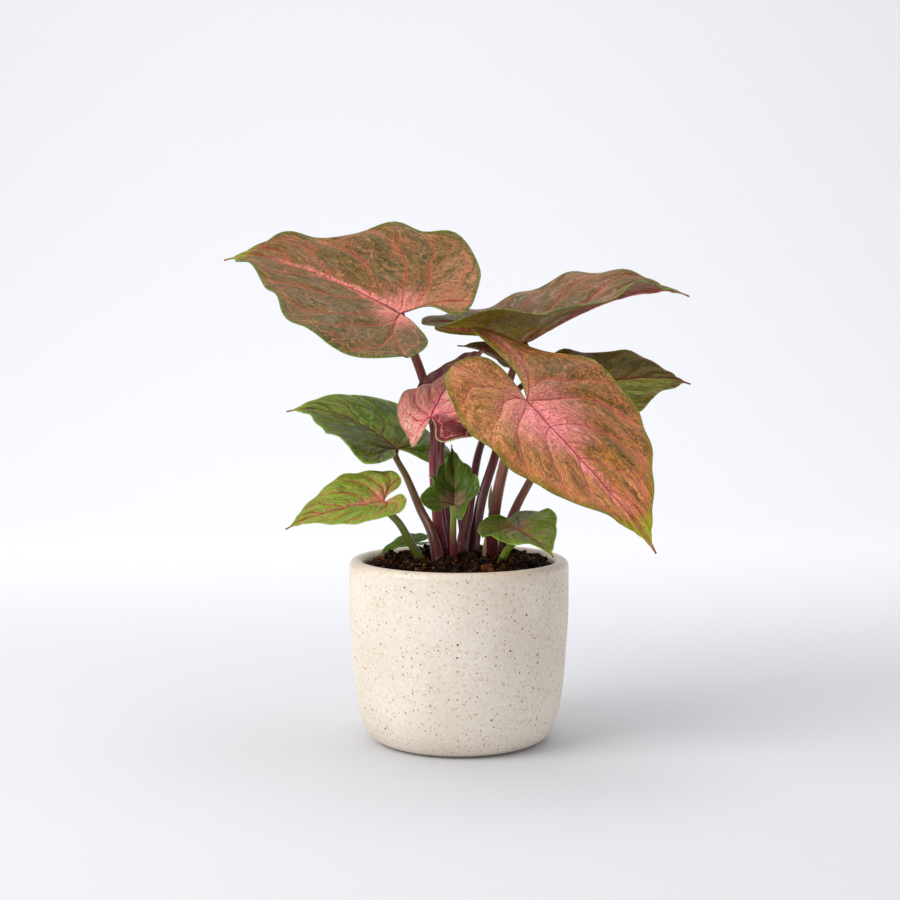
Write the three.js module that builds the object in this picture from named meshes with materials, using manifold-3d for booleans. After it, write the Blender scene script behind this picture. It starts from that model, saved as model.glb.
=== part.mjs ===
import * as THREE from 'three';
import Module from 'manifold-3d';
import { mergeVertices } from 'three/addons/utils/BufferGeometryUtils.js';

// An arrowhead plant (Syngonium podophyllum, a pink and bronze form) in a stoneware pot.
// Millimetres, +Z up. The origin is the middle of the pot's flat foot, and the plant faces -Y.

const wasm = await Module();
wasm.setup();

// ---- driving dimensions ----

const GAP = 0.3; // between pieces that touch

const POT_HEIGHT = 100;
const POT_RADIUS = 60; // at the widest, three quarters of the way up
const FOOT_RADIUS = 42; // flat ring that the pot stands on
const FLOOR = 8; // thickness of the pot's floor
const LIP_RADIUS = 4; // half-round rim
const WALL = 2 * LIP_RADIUS;
const SECTORS = 48; // of the pot and of the soil in it

const SOIL_RADIUS = POT_RADIUS - WALL - 2 * GAP;
const SOIL_EDGE = 93; // height of the soil along the wall
const SOIL_MOUND = 5.5; // how much higher it is in the middle
const CRUMB = 0.9; // height of the clods
const SOIL_RINGS = 12;

const STALK_DEPTH = 16; // how deep a stalk stands in the soil
const STALK_SIDES = 8;
const STALK_STEPS = 11;

const BLADE = 0.7; // thickness of a leaf blade
const QUILT = 0.8; // how far the blade bulges between two side veins of a large leaf

// ---- the leaves ----
//
// A blade is described flat first: `length` from the stalk to the tip, `halfWidth`, and `lobe`,
// how far the two back lobes reach behind the stalk. It is then bent (degrees): the midrib by
// `bend` and, near the tip, `droop`, sideways by `sway`, and it turns about itself by `twist`.
// Each side is lifted by `fold`, and by `lobeFold` and `tipFold` more or less at its two ends. It is
// rolled down by `curl`, its lobe rises by `lift`, and it has a `wave` of [height, number, start].
// The margin alone has a `ruffle` of [height, width, number, start]. `wide` and `reach` scale the
// side's width and the length of its lobe, `spread` is how far out the lobe ends, and `sinus` opens
// the cut between the two lobes, or closes it below 0.
// `heading` is the way the tip points, counted from +X towards +Y, `pitch` is its rise, and `roll`
// lifts the right side.
// A stalk runs from `foot` in the soil, by the points of `way`, to the blade at `at`.

const SHAPE = {
  taper: [0.25, 0.64, 0.94], bend: 0, droop: 0, sway: 0, twist: 0, veins: [6, 3], quilt: 1, columns: 4,
};
const SIDE = {
  fold: 15, lobeFold: 0, tipFold: 0, curl: 12, lift: 0, spread: 0.75, wide: 1, reach: 1,
  sinus: 0, wave: [2, 1.6, 0], ruffle: [0.3, 0.2, 3, 0],
};

const LEAVES = {
  upper_left: {
    at: [-32, 6, 233], heading: 145, pitch: 24, roll: 33,
    length: 133, halfWidth: 56, lobe: 39, taper: [0.26, 0.58, 0.92],
    bend: -4, droop: -32, sway: -12, twist: -7, columns: 5,
    right: {
      fold: 17, lobeFold: 24, curl: 4, lift: 10, reach: 1.2, spread: 0.56, sinus: 1.05,
      wave: [5.7, 1.35, 16], ruffle: [3.1, 1.4, 2.6, 106],
    },
    left: {
      fold: 17, lobeFold: 7, curl: 9, lift: -5, reach: 0.89, spread: 0.73, sinus: -0.45,
      wave: [2.4, 1.4, 60], ruffle: [2.2, 0.1, 3.2, -17],
    },
    foot: [-6, 16], way: [[-10, 12, 147], [-18, 22, 190], [-26, 15, 214]], stalk: [2.2, 3.0],
    blade: '#80654c', stem: '#5c2f33',
  },
  upper_right: {
    at: [36, 39, 217], heading: 25, pitch: 29, roll: -4,
    length: 115, halfWidth: 48, lobe: 53, taper: [0.24, 0.65, 0.92],
    bend: -17, droop: -36, sway: -1, twist: -12, columns: 5,
    right: {
      fold: 26, lobeFold: 22, tipFold: -6, curl: 6, lift: 28, spread: 0.9, reach: 1, sinus: 1.1,
      wave: [3.8, 1.35, 120], ruffle: [0.8, 2.5, 2.5, -85],
    },
    left: {
      fold: 28, lobeFold: -3, curl: 19, lift: 33, spread: 1.15, reach: 0.8, sinus: 1.1,
      wave: [4.5, 1.3, 146], ruffle: [1.7, 0, 3.8, 166],
    },
    foot: [7, 6], way: [[12, 13, 129], [21, 19, 158], [30, 32, 201]], stalk: [1.9, 2.8],
    blade: '#7f6a48', stem: '#5a3436',
  },
  front_right: {
    at: [35, -48, 188], heading: -30, pitch: -43, roll: -9,
    length: 108, halfWidth: 47, lobe: 50, taper: [0.24, 0.71, 0.97],
    bend: 10, droop: -14, sway: 16, twist: -11, columns: 5,
    right: {
      fold: 9, lobeFold: -20, curl: 33, lift: 16, spread: 0.73, reach: 0.69, sinus: -0.45,
      wave: [2.6, 1.9, -88], ruffle: [1.2, 0.1, 3.1, -80],
    },
    left: {
      fold: 30, lobeFold: -36, curl: 12, lift: -6, wide: 1.04, reach: 1.22, spread: 0.78,
      sinus: 0.7, wave: [1.6, 1.6, 50], ruffle: [0.7, 0.3, 2.2, 136],
    },
    foot: [17.5, -8], way: [[19, -20, 127], [24, -33, 155], [29, -43, 174]], stalk: [2.4, 3.0],
    blade: '#a9714f', stem: '#5f3335',
  },
  right_rear: {
    at: [68, 5, 193], heading: 21, pitch: 13, roll: -22,
    length: 69, halfWidth: 29, lobe: 32,
    bend: -23, droop: -10, twist: -7,
    right: { fold: -2, wave: [2.7, 1.7, 60], ruffle: [0.5, -0.3, 2.1, 43] },
    left: {
      fold: 23, tipFold: 4, curl: 14, reach: 0.7, wave: [3.7, 1.7, 117],
      ruffle: [0.8, 0.3, 2.1, 45],
    },
    foot: [22, 14], way: [[31, 12, 125], [39, 10, 141], [55, 7, 169]], stalk: [1.8, 2.3],
    blade: '#66692f', stem: '#6b4038',
  },
  centre_pink: {
    at: [-15, -20, 178], heading: 59, pitch: 48, roll: 1,
    length: 54, halfWidth: 25, lobe: 18,
    bend: -20, droop: -7, twist: 6,
    right: {
      fold: -2, lobeFold: 12, curl: 32, lift: 2, wide: 1.06, reach: 1, spread: 0.86, sinus: 0.6,
      wave: [3.5, 1.6, -76],
    },
    left: {
      fold: -1, lobeFold: -31, tipFold: -10, curl: 8, spread: 0.5, wide: 0.94,
      reach: 0.85, lift: -2, sinus: -0.4, wave: [6.5, 1.2, -30],
    },
    foot: [-9, 3], way: [[-12, -4, 125], [-14, -12, 154]], stalk: [1.7, 3.2],
    blade: '#c2686a', stem: '#6a2c36',
  },
  centre_maroon: {
    at: [-7, 8, 185], heading: 54, pitch: 45, roll: 0,
    length: 50, halfWidth: 18, lobe: 23,
    bend: -16, droop: -10, sway: -6,
    right: { fold: 30, curl: 15, wave: [1.1, 1.6, 0] },
    left: { fold: 34, curl: 11, wave: [1.5, 1.6, 60] },
    foot: [-3.5, 9.5], way: [[-6.5, 8, 125], [-9.5, 6, 158]], stalk: [1.2, 1.6],
    blade: '#7b4248', stem: '#5e3034',
  },
  left: {
    at: [-35, 20, 158], heading: 134, pitch: 28, roll: 10,
    length: 83, halfWidth: 35, lobe: 21,
    bend: -17, droop: -22, sway: -26, twist: 14,
    right: {
      fold: 14, tipFold: 18, curl: 39, reach: 1, spread: 0.68, lobeFold: 12, lift: -21,
      sinus: 0.55, wave: [2.5, 1.3, -110], ruffle: [0.3, 0.5, 2.8, 83],
    },
    left: {
      fold: 20, lobeFold: -14, curl: 10, spread: 0.98, reach: 0.94, lift: 29, sinus: 0.5,
      wave: [1.5, 1.6, 10], ruffle: [0, 0.8, 3.7, 49],
    },
    foot: [-11, -14], way: [[-15, -5, 115], [-21, 2, 126], [-29, 12, 143]], stalk: [1.4, 2.9],
    blade: '#557f37', stem: '#63453a',
  },
  lower_left: {
    at: [-40, -22, 133], heading: 189, pitch: -7, roll: 30,
    length: 54, halfWidth: 24, lobe: 12,
    bend: -10, droop: -17, sway: -4, twist: 8,
    right: {
      fold: 22, tipFold: 7, curl: 18, reach: 0.98, spread: 0.77, lobeFold: -2, lift: -5,
      sinus: 0.75, wave: [2.3, 1.5, -114],
    },
    left: {
      fold: 24, lobeFold: -1, curl: 17, lift: 30, reach: 1, spread: 0.78, sinus: -0.45,
      wave: [1.5, 1.6, 33], ruffle: [0.6, 0, 2.2, 140],
    },
    foot: [-19, -11], way: [[-26, -15, 110], [-32, -18, 121]], stalk: [1.3, 1.6],
    blade: '#8eaa4e', stem: '#7c8a35',
  },
  small_centre: {
    at: [-3, -36, 133], heading: 85, pitch: 33, roll: 2,
    length: 40, halfWidth: 17, lobe: 14, taper: [0.23, 0.62, 0.93],
    bend: 31, droop: -5, sway: -9, veins: [4, 2], quilt: 0.6,
    right: {
      fold: 33, lobeFold: 7, curl: 3, spread: 0.55, reach: 1.11, lift: -5, sinus: 0,
      wave: [2.5, 1.6, -112],
    },
    left: {
      fold: 37, lobeFold: 17, curl: -8, spread: 1.18, reach: 0.88, lift: -22, sinus: 0.3,
      wave: [2.6, 1.5, 50],
    },
    foot: [-3, -17], way: [[-3, -28, 119]], stalk: [1.2, 1.5],
    blade: '#47702f', stem: '#6d3238',
  },
  small_right: {
    at: [31, -30, 119], heading: -58, pitch: -9, roll: -6,
    length: 36, halfWidth: 20, lobe: 20, taper: [0.23, 0.64, 0.95],
    bend: -10, droop: -12, sway: 5, twist: 3, veins: [4, 2], quilt: 0.6,
    right: {
      fold: 14, tipFold: 4, lobeFold: -45, curl: 27, reach: 0.89, spread: 0.71, lift: 46,
      sinus: -0.45, wave: [1.6, 1.8, -31],
    },
    left: {
      fold: 26, lobeFold: 3, curl: 0, lift: -15, reach: 1.06, spread: 0.6, sinus: 0,
      wave: [1.7, 1.6, 38],
    },
    foot: [22, -17], way: [[25, -22, 106]], stalk: [1.3, 1.6],
    blade: '#6f9a43', stem: '#8aa53a',
  },
  low_rear: {
    at: [-25, 22, 105], heading: 195, pitch: -4, roll: 19,
    length: 22, halfWidth: 9, lobe: 9,
    bend: -25, droop: -14, sway: -6, veins: [4, 2], quilt: 0.5,
    right: { wave: [0.4, 1.6, 0] },
    left: { fold: 25, curl: 6, wave: [0.4, 1.6, 90] },
    foot: [-18, 15], way: [[-21, 18, 102]], stalk: [0.9, 1.1],
    blade: '#5f8a35', stem: '#7f8f3a',
  },
  rear: {
    at: [39, 56, 195], heading: 175, pitch: 43, roll: 11,
    length: 45, halfWidth: 17, lobe: 16,
    bend: -26, droop: -20, sway: -5, twist: 5, veins: [4, 2],
    right: { fold: 33, tipFold: 6, curl: 12, wave: [2.7, 1.6, 0] },
    left: { fold: 19, curl: 11, wave: [2.7, 1.7, 34] },
    foot: [1, -3], way: [[6, 11, 129], [12, 29, 159], [24, 47, 182]], stalk: [1.5, 2.9],
    blade: '#6d5a40', stem: '#5d3338',
  },
};

// A young leaf, still rolled up to a point, that stands among the stalks.
const SPEAR = {
  foot: [2.6, -9], way: [[1.6, -9, 112], [-0.3, -9.5, 125], [-1.5, -10, 134]], radius: 1.2,
};

const POT_COLOUR = '#e0d4c4';
const SOIL_COLOUR = '#2e2019';
const SPEAR_COLOUR = '#6a2b35';

// ---- helpers ----

const radians = THREE.MathUtils.degToRad;
const clamp = THREE.MathUtils.clamp;
const lerp = THREE.MathUtils.lerp;

// The signed volume of a closed mesh: below zero where its faces point in.
function volume(geometry) {
  const position = geometry.attributes.position;
  const corners = [0, 1, 2].map(() => new THREE.Vector3());
  let sum = 0;
  for (let i = 0; i < geometry.index.count; i += 3) {
    corners.forEach((corner, j) => corner.fromBufferAttribute(position, geometry.index.getX(i + j)));
    sum += corners[0].dot(corners[1].clone().cross(corners[2])) / 6;
  }
  return sum;
}

// One closed body: shared corners merged, faces that shrank to a line dropped, faces pointing out.
function closed(geometry) {
  geometry.deleteAttribute('normal');
  geometry.deleteAttribute('uv');
  const merged = mergeVertices(geometry, 1e-4);
  const faces = [];
  for (let i = 0; i < merged.index.count; i += 3) {
    const face = [0, 1, 2].map((j) => merged.index.getX(i + j));
    if (new Set(face).size === 3) faces.push(face);
  }
  merged.setIndex(faces.flat());
  if (volume(merged) < 0) merged.setIndex(faces.flatMap(([a, b, c]) => [a, c, b]));
  return merged;
}

function toManifold(geometry) {
  return new wasm.Manifold(new wasm.Mesh({
    numProp: 3,
    vertProperties: geometry.attributes.position.array,
    triVerts: new Uint32Array(geometry.index.array),
  }));
}

function fromManifold(solid) {
  const mesh = solid.getMesh();
  const geometry = new THREE.BufferGeometry();
  geometry.setAttribute('position', new THREE.BufferAttribute(mesh.vertProperties, 3));
  geometry.setIndex(new THREE.BufferAttribute(mesh.triVerts, 1));
  return geometry;
}

function node(name, geometry, color, roughness) {
  const material = new THREE.MeshStandardMaterial({ color, roughness, metalness: 0 });
  const mesh = new THREE.Mesh(geometry, material);
  mesh.name = name;
  return mesh;
}

// ---- pot and soil ----

// The outside of the pot, from the flat foot to where the rim begins.
const potSide = new THREE.SplineCurve([
  new THREE.Vector2(FOOT_RADIUS, 0),
  new THREE.Vector2(POT_RADIUS - 10.5, 4),
  new THREE.Vector2(POT_RADIUS - 5, 16),
  new THREE.Vector2(POT_RADIUS - 2, 40),
  new THREE.Vector2(POT_RADIUS, 72),
  new THREE.Vector2(POT_RADIUS, POT_HEIGHT - LIP_RADIUS),
]);

// The inside wall's distance from the axis, which follows the outside and rounds into the floor.
function insideRadius(height) {
  const corner = 14;
  const rise = clamp((height - FLOOR) / corner, 0, 1);
  const outside = lerp(POT_RADIUS - 5, POT_RADIUS, clamp(height / POT_HEIGHT, 0, 1));
  return outside - WALL - corner * (1 - Math.sqrt(1 - (1 - rise) ** 2));
}

const INSIDE_HEIGHTS = [FLOOR, FLOOR + 1, FLOOR + 4, FLOOR + 9, FLOOR + 14, 50, 80];

function potGeometry() {
  const rim = new THREE.EllipseCurve(
    POT_RADIUS - LIP_RADIUS, POT_HEIGHT - LIP_RADIUS, LIP_RADIUS, LIP_RADIUS, 0, Math.PI);
  const profile = [
    new THREE.Vector2(0, 0),
    ...potSide.getPoints(11),
    ...rim.getPoints(8).slice(1),
    ...INSIDE_HEIGHTS.toReversed().map((height) => new THREE.Vector2(insideRadius(height), height)),
    new THREE.Vector2(0, FLOOR),
  ];
  return closed(new THREE.LatheGeometry(profile, SECTORS).rotateX(Math.PI / 2));
}

// Height of the soil: a low mound with clods on it, flatter where it meets the wall.
function soilHeight(x, y) {
  const share = Math.min(1, Math.hypot(x, y) / SOIL_RADIUS);
  const mound = SOIL_MOUND * (1 - share ** 2.4);
  const clods = Math.sin(0.61 * x + 0.23 * y + 1.3) * Math.sin(0.29 * x - 0.57 * y)
    + 0.8 * Math.sin(1.07 * x - 0.41 * y + 2.1) * Math.sin(0.37 * x + 0.93 * y + 0.6);
  return SOIL_EDGE + mound + CRUMB * clods * (1 - share ** 8);
}

function soilGeometry() {
  const rows = [];
  for (let ring = 0; ring <= SOIL_RINGS; ring += 1) {
    rows.push({ radius: SOIL_RADIUS * ring / SOIL_RINGS });
  }
  for (const height of INSIDE_HEIGHTS.toReversed()) {
    rows.push({ radius: insideRadius(height) - GAP, height: height + GAP });
  }
  rows.push({ radius: 0, height: FLOOR + GAP });
  const points = [];
  for (const { radius, height } of rows) {
    for (let sector = 0; sector < SECTORS; sector += 1) {
      const turn = 2 * Math.PI * sector / SECTORS;
      const x = radius * Math.cos(turn);
      const y = radius * Math.sin(turn);
      points.push(x, y, height ?? soilHeight(x, y));
    }
  }
  const faces = [];
  for (let row = 0; row + 1 < rows.length; row += 1) {
    for (let sector = 0; sector < SECTORS; sector += 1) {
      const next = (sector + 1) % SECTORS;
      const [a, b] = [row * SECTORS + sector, row * SECTORS + next];
      faces.push(a, a + SECTORS, b, b, a + SECTORS, b + SECTORS);
    }
  }
  const geometry = new THREE.BufferGeometry();
  geometry.setAttribute('position', new THREE.Float32BufferAttribute(points, 3));
  geometry.setIndex(faces);
  return closed(geometry);
}

// ---- leaf blades ----

// Ribs are numbered from 0 at the tip, over ROOT where they leave the stalk, to LAST at the
// lobe's end. Each runs from the midrib, or from the lobe's main vein, out to the margin.
const ROOT = 4.5;
const LAST = 7;
const RIB_STARTS = [1, 0.87, 0.67, 0.39, 0.1, 0]; // shares of the length, for ribs 0 to ROOT

function alongSpline(points, place) {
  const curve = new THREE.SplineCurve(points.map(([x, y]) => new THREE.Vector2(x, y)));
  return curve.getPoint(clamp(place, 0, 1));
}

function flatSide(leaf, side) {
  const { length } = leaf;
  const width = leaf.halfWidth * side.wide;
  const lobe = leaf.lobe * side.reach;
  const [slim, middle, full] = leaf.taper;
  const end = [0.78 * side.spread * width, -lobe];
  const margin = [
    [0, length], [0.045 * width, 0.925 * length], [slim * width, 0.8 * length],
    [middle * width, 0.53 * length], [full * width, 0.27 * length], [width, 0.03 * length],
    [0.5 * (0.95 + side.spread) * width, -0.6 * lobe], end,
  ];
  const inner = [
    [0, 0], [(0.1 + 0.2 * side.sinus) * side.spread * width, -0.3 * lobe],
    [(0.36 + 0.22 * side.sinus) * side.spread * width, -0.8 * lobe], end,
  ];
  const lobeVein = new THREE.QuadraticBezierCurve(
    new THREE.Vector2(0, 0), new THREE.Vector2(0.62 * side.spread * width, -0.3 * lobe),
    new THREE.Vector2(...end));
  return { length, width, lobe, margin, inner, lobeVein };
}

function ribStart(flat, rib) {
  if (rib > ROOT) return flat.lobeVein.getPoint((rib - ROOT) / (LAST - ROOT));
  const lower = Math.min(Math.floor(rib), 4);
  const share = (rib - lower) / (lower === 4 ? 0.5 : 1);
  return new THREE.Vector2(0, flat.length * lerp(RIB_STARTS[lower], RIB_STARTS[lower + 1], share));
}

// A point of the flat half blade on a rib, at a share of the way out to the margin.
// The rib leaves its vein steeply and bows towards the tip.
function onRib(flat, rib, share) {
  const start = ribStart(flat, rib);
  const end = alongSpline(flat.margin, rib / LAST);
  const bow = 0.12 * start.distanceTo(end) * clamp(LAST - rib, 0, 1);
  const middle = start.clone().lerp(end, 0.5).add(new THREE.Vector2(0, -bow));
  return new THREE.QuadraticBezierCurve(start, middle, end).getPoint(share);
}

// Bends a point of the flat half blade to its place; `across` is its distance from the midrib.
function bent(leaf, side, flat, mirror, across, along, share) {
  const ahead = clamp(along / flat.length, 0, 1);
  const behind = clamp(-along / flat.lobe, 0, 1.1);
  const out = across / flat.width;
  const rise = radians(
    side.fold + side.tipFold * ahead ** 2 + side.lobeFold * behind - 0.5 * side.curl * out);
  const [height, number, start] = side.wave;
  const swing = Math.sin(2 * Math.PI * number * along / flat.length + radians(start));
  const lift = radians(side.lift);
  const raised = flat.lobe * behind ** 2 / (behind + 0.15);
  const [ripple, scallop, count, phase] = side.ruffle;
  const edge = share ** 2 * Math.min(1, 2.5 * out)
    * Math.sin(2 * Math.PI * count * along / flat.length + radians(phase));
  const off = height * clamp(out, 0, 1.2) ** 1.5 * swing + raised * Math.sin(lift) + ripple * edge;
  const wide = across + scallop * edge;
  const section = new THREE.Vector3(
    mirror * (wide * Math.cos(rise) - off * Math.sin(rise)), 0,
    wide * Math.sin(rise) + off * Math.cos(rise));
  section.applyAxisAngle(new THREE.Vector3(0, 1, 0), -radians(leaf.twist * ahead));
  section.applyAxisAngle(
    new THREE.Vector3(1, 0, 0), radians(leaf.bend * ahead + leaf.droop * ahead ** 4));
  section.applyAxisAngle(new THREE.Vector3(0, 0, 1), -radians(leaf.sway * ahead));
  const climb = radians(0.5 * leaf.bend * ahead + 0.2 * leaf.droop * ahead ** 4);
  const turn = radians(0.5 * leaf.sway * ahead);
  const reach = Math.max(along, 0);
  const rib = new THREE.Vector3(
    reach * Math.sin(turn) * Math.cos(climb), reach * Math.cos(turn) * Math.cos(climb),
    reach * Math.sin(climb));
  rib.y -= flat.lobe * behind - raised * (1 - Math.cos(lift));
  return rib.add(section).applyMatrix4(leaf.place);
}

// Local X is the blade's right, Y its tip and Z its upper face.
function bladePlace(leaf) {
  return new THREE.Matrix4().makeTranslation(...leaf.at)
    .multiply(new THREE.Matrix4().makeRotationZ(radians(leaf.heading - 90)))
    .multiply(new THREE.Matrix4().makeRotationX(radians(leaf.pitch)))
    .multiply(new THREE.Matrix4().makeRotationY(-radians(leaf.roll)));
}

// Ribs at every side vein and half-way between two.
function ribNumbers([front, back]) {
  const ribs = [];
  for (let i = 0; i < 2 * front; i += 1) ribs.push(ROOT * i / (2 * front));
  for (let i = 0; i <= 2 * back; i += 1) ribs.push(lerp(ROOT, LAST, i / (2 * back)));
  return ribs;
}

// The blade bulges up between its side veins.
function quilting(leaf, rib, share) {
  const [front, back] = leaf.veins;
  const count = rib <= ROOT ? front * rib / ROOT : back * (rib - ROOT) / (LAST - ROOT);
  return QUILT * leaf.quilt * Math.sin(Math.PI * count) ** 2 * Math.sqrt(4 * share * (1 - share));
}

// The blade's middle surface: corners and faces, upper face outwards.
function bladeSheet(leaf) {
  const corners = [];
  const known = new Map();
  const faces = [];
  const bulges = [];
  const corner = (side, flat, mirror, point, share, bulge) => {
    const key = `${(mirror * point.x).toFixed(3)} ${point.y.toFixed(3)}`;
    if (!known.has(key)) {
      known.set(key, corners.length);
      corners.push(bent(leaf, side, flat, mirror, point.x, point.y, share));
      bulges.push(bulge);
    }
    return known.get(key);
  };
  const join = (rows, flip) => {
    for (let i = 0; i + 1 < rows.length; i += 1) {
      for (let j = 0; j + 1 < rows[i].length; j += 1) {
        const [a, b, c, d] = [rows[i][j], rows[i][j + 1], rows[i + 1][j], rows[i + 1][j + 1]];
        for (const face of [[a, c, b], [b, c, d]]) {
          if (new Set(face).size === 3) faces.push(flip ? face.toReversed() : face);
        }
      }
    }
  };
  for (const [mirror, name] of [[1, 'right'], [-1, 'left']]) {
    const side = leaf[name];
    const flat = flatSide(leaf, side);
    const ribs = ribNumbers(leaf.veins);
    join(ribs.map((rib) => Array.from({ length: leaf.columns + 1 }, (_, j) => {
      const share = rib === LAST ? 1 : j / leaf.columns;
      return corner(side, flat, mirror, onRib(flat, rib, share), share, quilting(leaf, rib, share));
    })), mirror < 0);
    const lobeRibs = ribs.filter((rib) => rib >= ROOT);
    join(lobeRibs.map((rib) => Array.from({ length: 3 }, (_, j) => {
      const start = ribStart(flat, rib);
      const end = alongSpline(flat.inner, (rib - ROOT) / (LAST - ROOT));
      return corner(side, flat, mirror, start.lerp(end, j / 2), 0, 0);
    })), mirror > 0);
  }
  return { corners, faces, bulges };
}

// The sheet with its thickness: both faces split into the same triangles, joined at the margin.
function bladeGeometry(leaf) {
  const { corners, faces, bulges } = bladeSheet(leaf);
  const sheet = new THREE.BufferGeometry();
  const middles = corners.flatMap((point) => point.toArray());
  sheet.setAttribute('position', new THREE.Float32BufferAttribute(middles, 3));
  sheet.setIndex(faces.flat());
  sheet.computeVertexNormals();
  const normal = new THREE.Vector3();
  const upper = [];
  const lower = [];
  corners.forEach((point, i) => {
    normal.fromBufferAttribute(sheet.attributes.normal, i);
    upper.push(point.clone().addScaledVector(normal, bulges[i] + BLADE / 2));
    lower.push(point.clone().addScaledVector(normal, bulges[i] - BLADE / 2));
  });
  const solid = faces.flatMap(([a, b, c]) => [[a, b, c], [a, c, b].map((i) => i + corners.length)]);
  const used = new Set(faces.flatMap(([a, b, c]) => [`${a} ${b}`, `${b} ${c}`, `${c} ${a}`]));
  for (const edge of used) {
    const [a, b] = edge.split(' ').map(Number);
    if (used.has(`${b} ${a}`)) continue;
    solid.push([a, a + corners.length, b], [b, a + corners.length, b + corners.length]);
  }
  const geometry = new THREE.BufferGeometry();
  const points = [...upper, ...lower].flatMap((point) => point.toArray());
  geometry.setAttribute('position', new THREE.Float32BufferAttribute(points, 3));
  geometry.setIndex(solid.flat());
  return closed(geometry);
}

// ---- stalks ----

const vectors = (points) => points.map((point) => new THREE.Vector3(...point));

// A point on the soil, and one below it where a stalk that comes from `first` ends.
function rooted([x, y], first) {
  const foot = new THREE.Vector3(x, y, soilHeight(x, y));
  const down = foot.clone().sub(first).normalize().lerp(new THREE.Vector3(0, 0, -1), 0.5).normalize();
  return [foot.clone().addScaledVector(down, STALK_DEPTH), foot];
}

// From deep in the soil to just under the blade, where it stops square to the blade's face.
function stalkRoute(leaf) {
  const [topRadius] = leaf.stalk;
  const way = vectors(leaf.way);
  const under = new THREE.Vector3(0, 0, -1).transformDirection(leaf.place);
  const clear = BLADE / 2 + GAP + 0.1 * topRadius;
  const joint = new THREE.Vector3(...leaf.at).addScaledVector(under, clear);
  const neck = joint.clone().addScaledVector(under, 2.2 * topRadius);
  return new THREE.CatmullRomCurve3([...rooted(leaf.foot, way[0]), ...way, neck, joint]);
}

function stalkRadius(leaf, up) {
  const [topRadius, footRadius] = leaf.stalk;
  return lerp(footRadius, topRadius, up ** 0.7);
}

// A round stem along its route; `grow` makes it thicker, and longer at its lower end.
function stemGeometry(route, radiusAt, grow) {
  const frames = route.computeFrenetFrames(STALK_STEPS);
  const geometry = new THREE.CylinderGeometry(1, 1, 1, STALK_SIDES, STALK_STEPS);
  const position = geometry.attributes.position;
  const point = new THREE.Vector3();
  for (let i = 0; i < position.count; i += 1) {
    const step = Math.round((position.getY(i) + 0.5) * STALK_STEPS);
    const up = step / STALK_STEPS;
    const radius = radiusAt(up) + grow;
    route.getPointAt(up, point);
    point.addScaledVector(frames.normals[step], radius * position.getX(i));
    point.addScaledVector(frames.binormals[step], radius * position.getZ(i));
    if (step === 0) point.addScaledVector(frames.tangents[0], -grow);
    position.setXYZ(i, point.x, point.y, point.z);
  }
  return closed(geometry);
}

// ---- the plant ----

const plant = new THREE.Group();
plant.add(node('pot', potGeometry(), POT_COLOUR, 0.45));

let soil = toManifold(soilGeometry());
function addStem(name, route, radiusAt, color) {
  plant.add(node(name, stemGeometry(route, radiusAt, 0), color, 0.35));
  soil = soil.subtract(toManifold(stemGeometry(route, radiusAt, GAP)));
}

for (const [name, given] of Object.entries(LEAVES)) {
  const right = { ...SIDE, ...given.right };
  const left = { ...SIDE, ...given.left };
  const leaf = { ...SHAPE, ...given, right, left };
  leaf.place = bladePlace(leaf);
  plant.add(node(`blade_${name}`, bladeGeometry(leaf), leaf.blade, 0.42));
  addStem(`stalk_${name}`, stalkRoute(leaf), (up) => stalkRadius(leaf, up), leaf.stem);
}

const spearWay = vectors(SPEAR.way);
const spearRoute = new THREE.CatmullRomCurve3([...rooted(SPEAR.foot, spearWay[0]), ...spearWay]);
addStem('spear', spearRoute, (up) => SPEAR.radius * (1.03 - up ** 5), SPEAR_COLOUR);

plant.add(node('soil', closed(fromManifold(soil)), SOIL_COLOUR, 0.95));

export default plant;
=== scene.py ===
# %% [markdown]
# # A potted arrowhead plant
# An arrowhead plant (Syngonium podophyllum, a pink and bronze form) in a small stoneware pot.
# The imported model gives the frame: where the pot stands, and where each leaf and stalk is. Every
# piece below is made in that frame, in metres, and stands for the plain solid it names.

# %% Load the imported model
import math
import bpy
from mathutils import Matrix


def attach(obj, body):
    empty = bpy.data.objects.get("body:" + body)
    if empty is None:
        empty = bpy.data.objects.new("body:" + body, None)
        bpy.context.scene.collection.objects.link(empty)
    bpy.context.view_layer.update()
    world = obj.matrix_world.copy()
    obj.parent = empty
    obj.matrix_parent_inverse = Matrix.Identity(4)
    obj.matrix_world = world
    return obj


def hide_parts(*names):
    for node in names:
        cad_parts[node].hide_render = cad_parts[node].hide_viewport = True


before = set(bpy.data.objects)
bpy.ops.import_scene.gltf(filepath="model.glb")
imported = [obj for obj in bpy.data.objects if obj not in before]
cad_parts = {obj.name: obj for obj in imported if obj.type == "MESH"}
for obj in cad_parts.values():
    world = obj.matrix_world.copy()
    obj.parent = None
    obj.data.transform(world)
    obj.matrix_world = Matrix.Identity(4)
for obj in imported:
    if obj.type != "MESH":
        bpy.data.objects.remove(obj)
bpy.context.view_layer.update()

from types import SimpleNamespace

import bpy
import numpy as np
from mathutils import Matrix, Vector

MM = 0.001

# %% [markdown]
# ## Tools of the bench
# Colours are written as on a paint card and turned to the linear values that light is mixed in.
# A finish is a tree of nodes, so a new material comes with one function that adds a node to it,
# with its settings and links. Most masks here are ranges that ease in and out, which is a setting.

# %% Colours and nodes
SOFT = dict(interpolation_type="SMOOTHSTEP")


def paint(code):
    """A colour card's hex code as linear red, green, blue and alpha."""
    parts = [int(code[i:i + 2], 16) / 255 for i in (1, 3, 5)]
    return [p / 12.92 if p <= 0.04045 else ((p + 0.055) / 1.055) ** 2.4 for p in parts] + [1.0]


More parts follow.
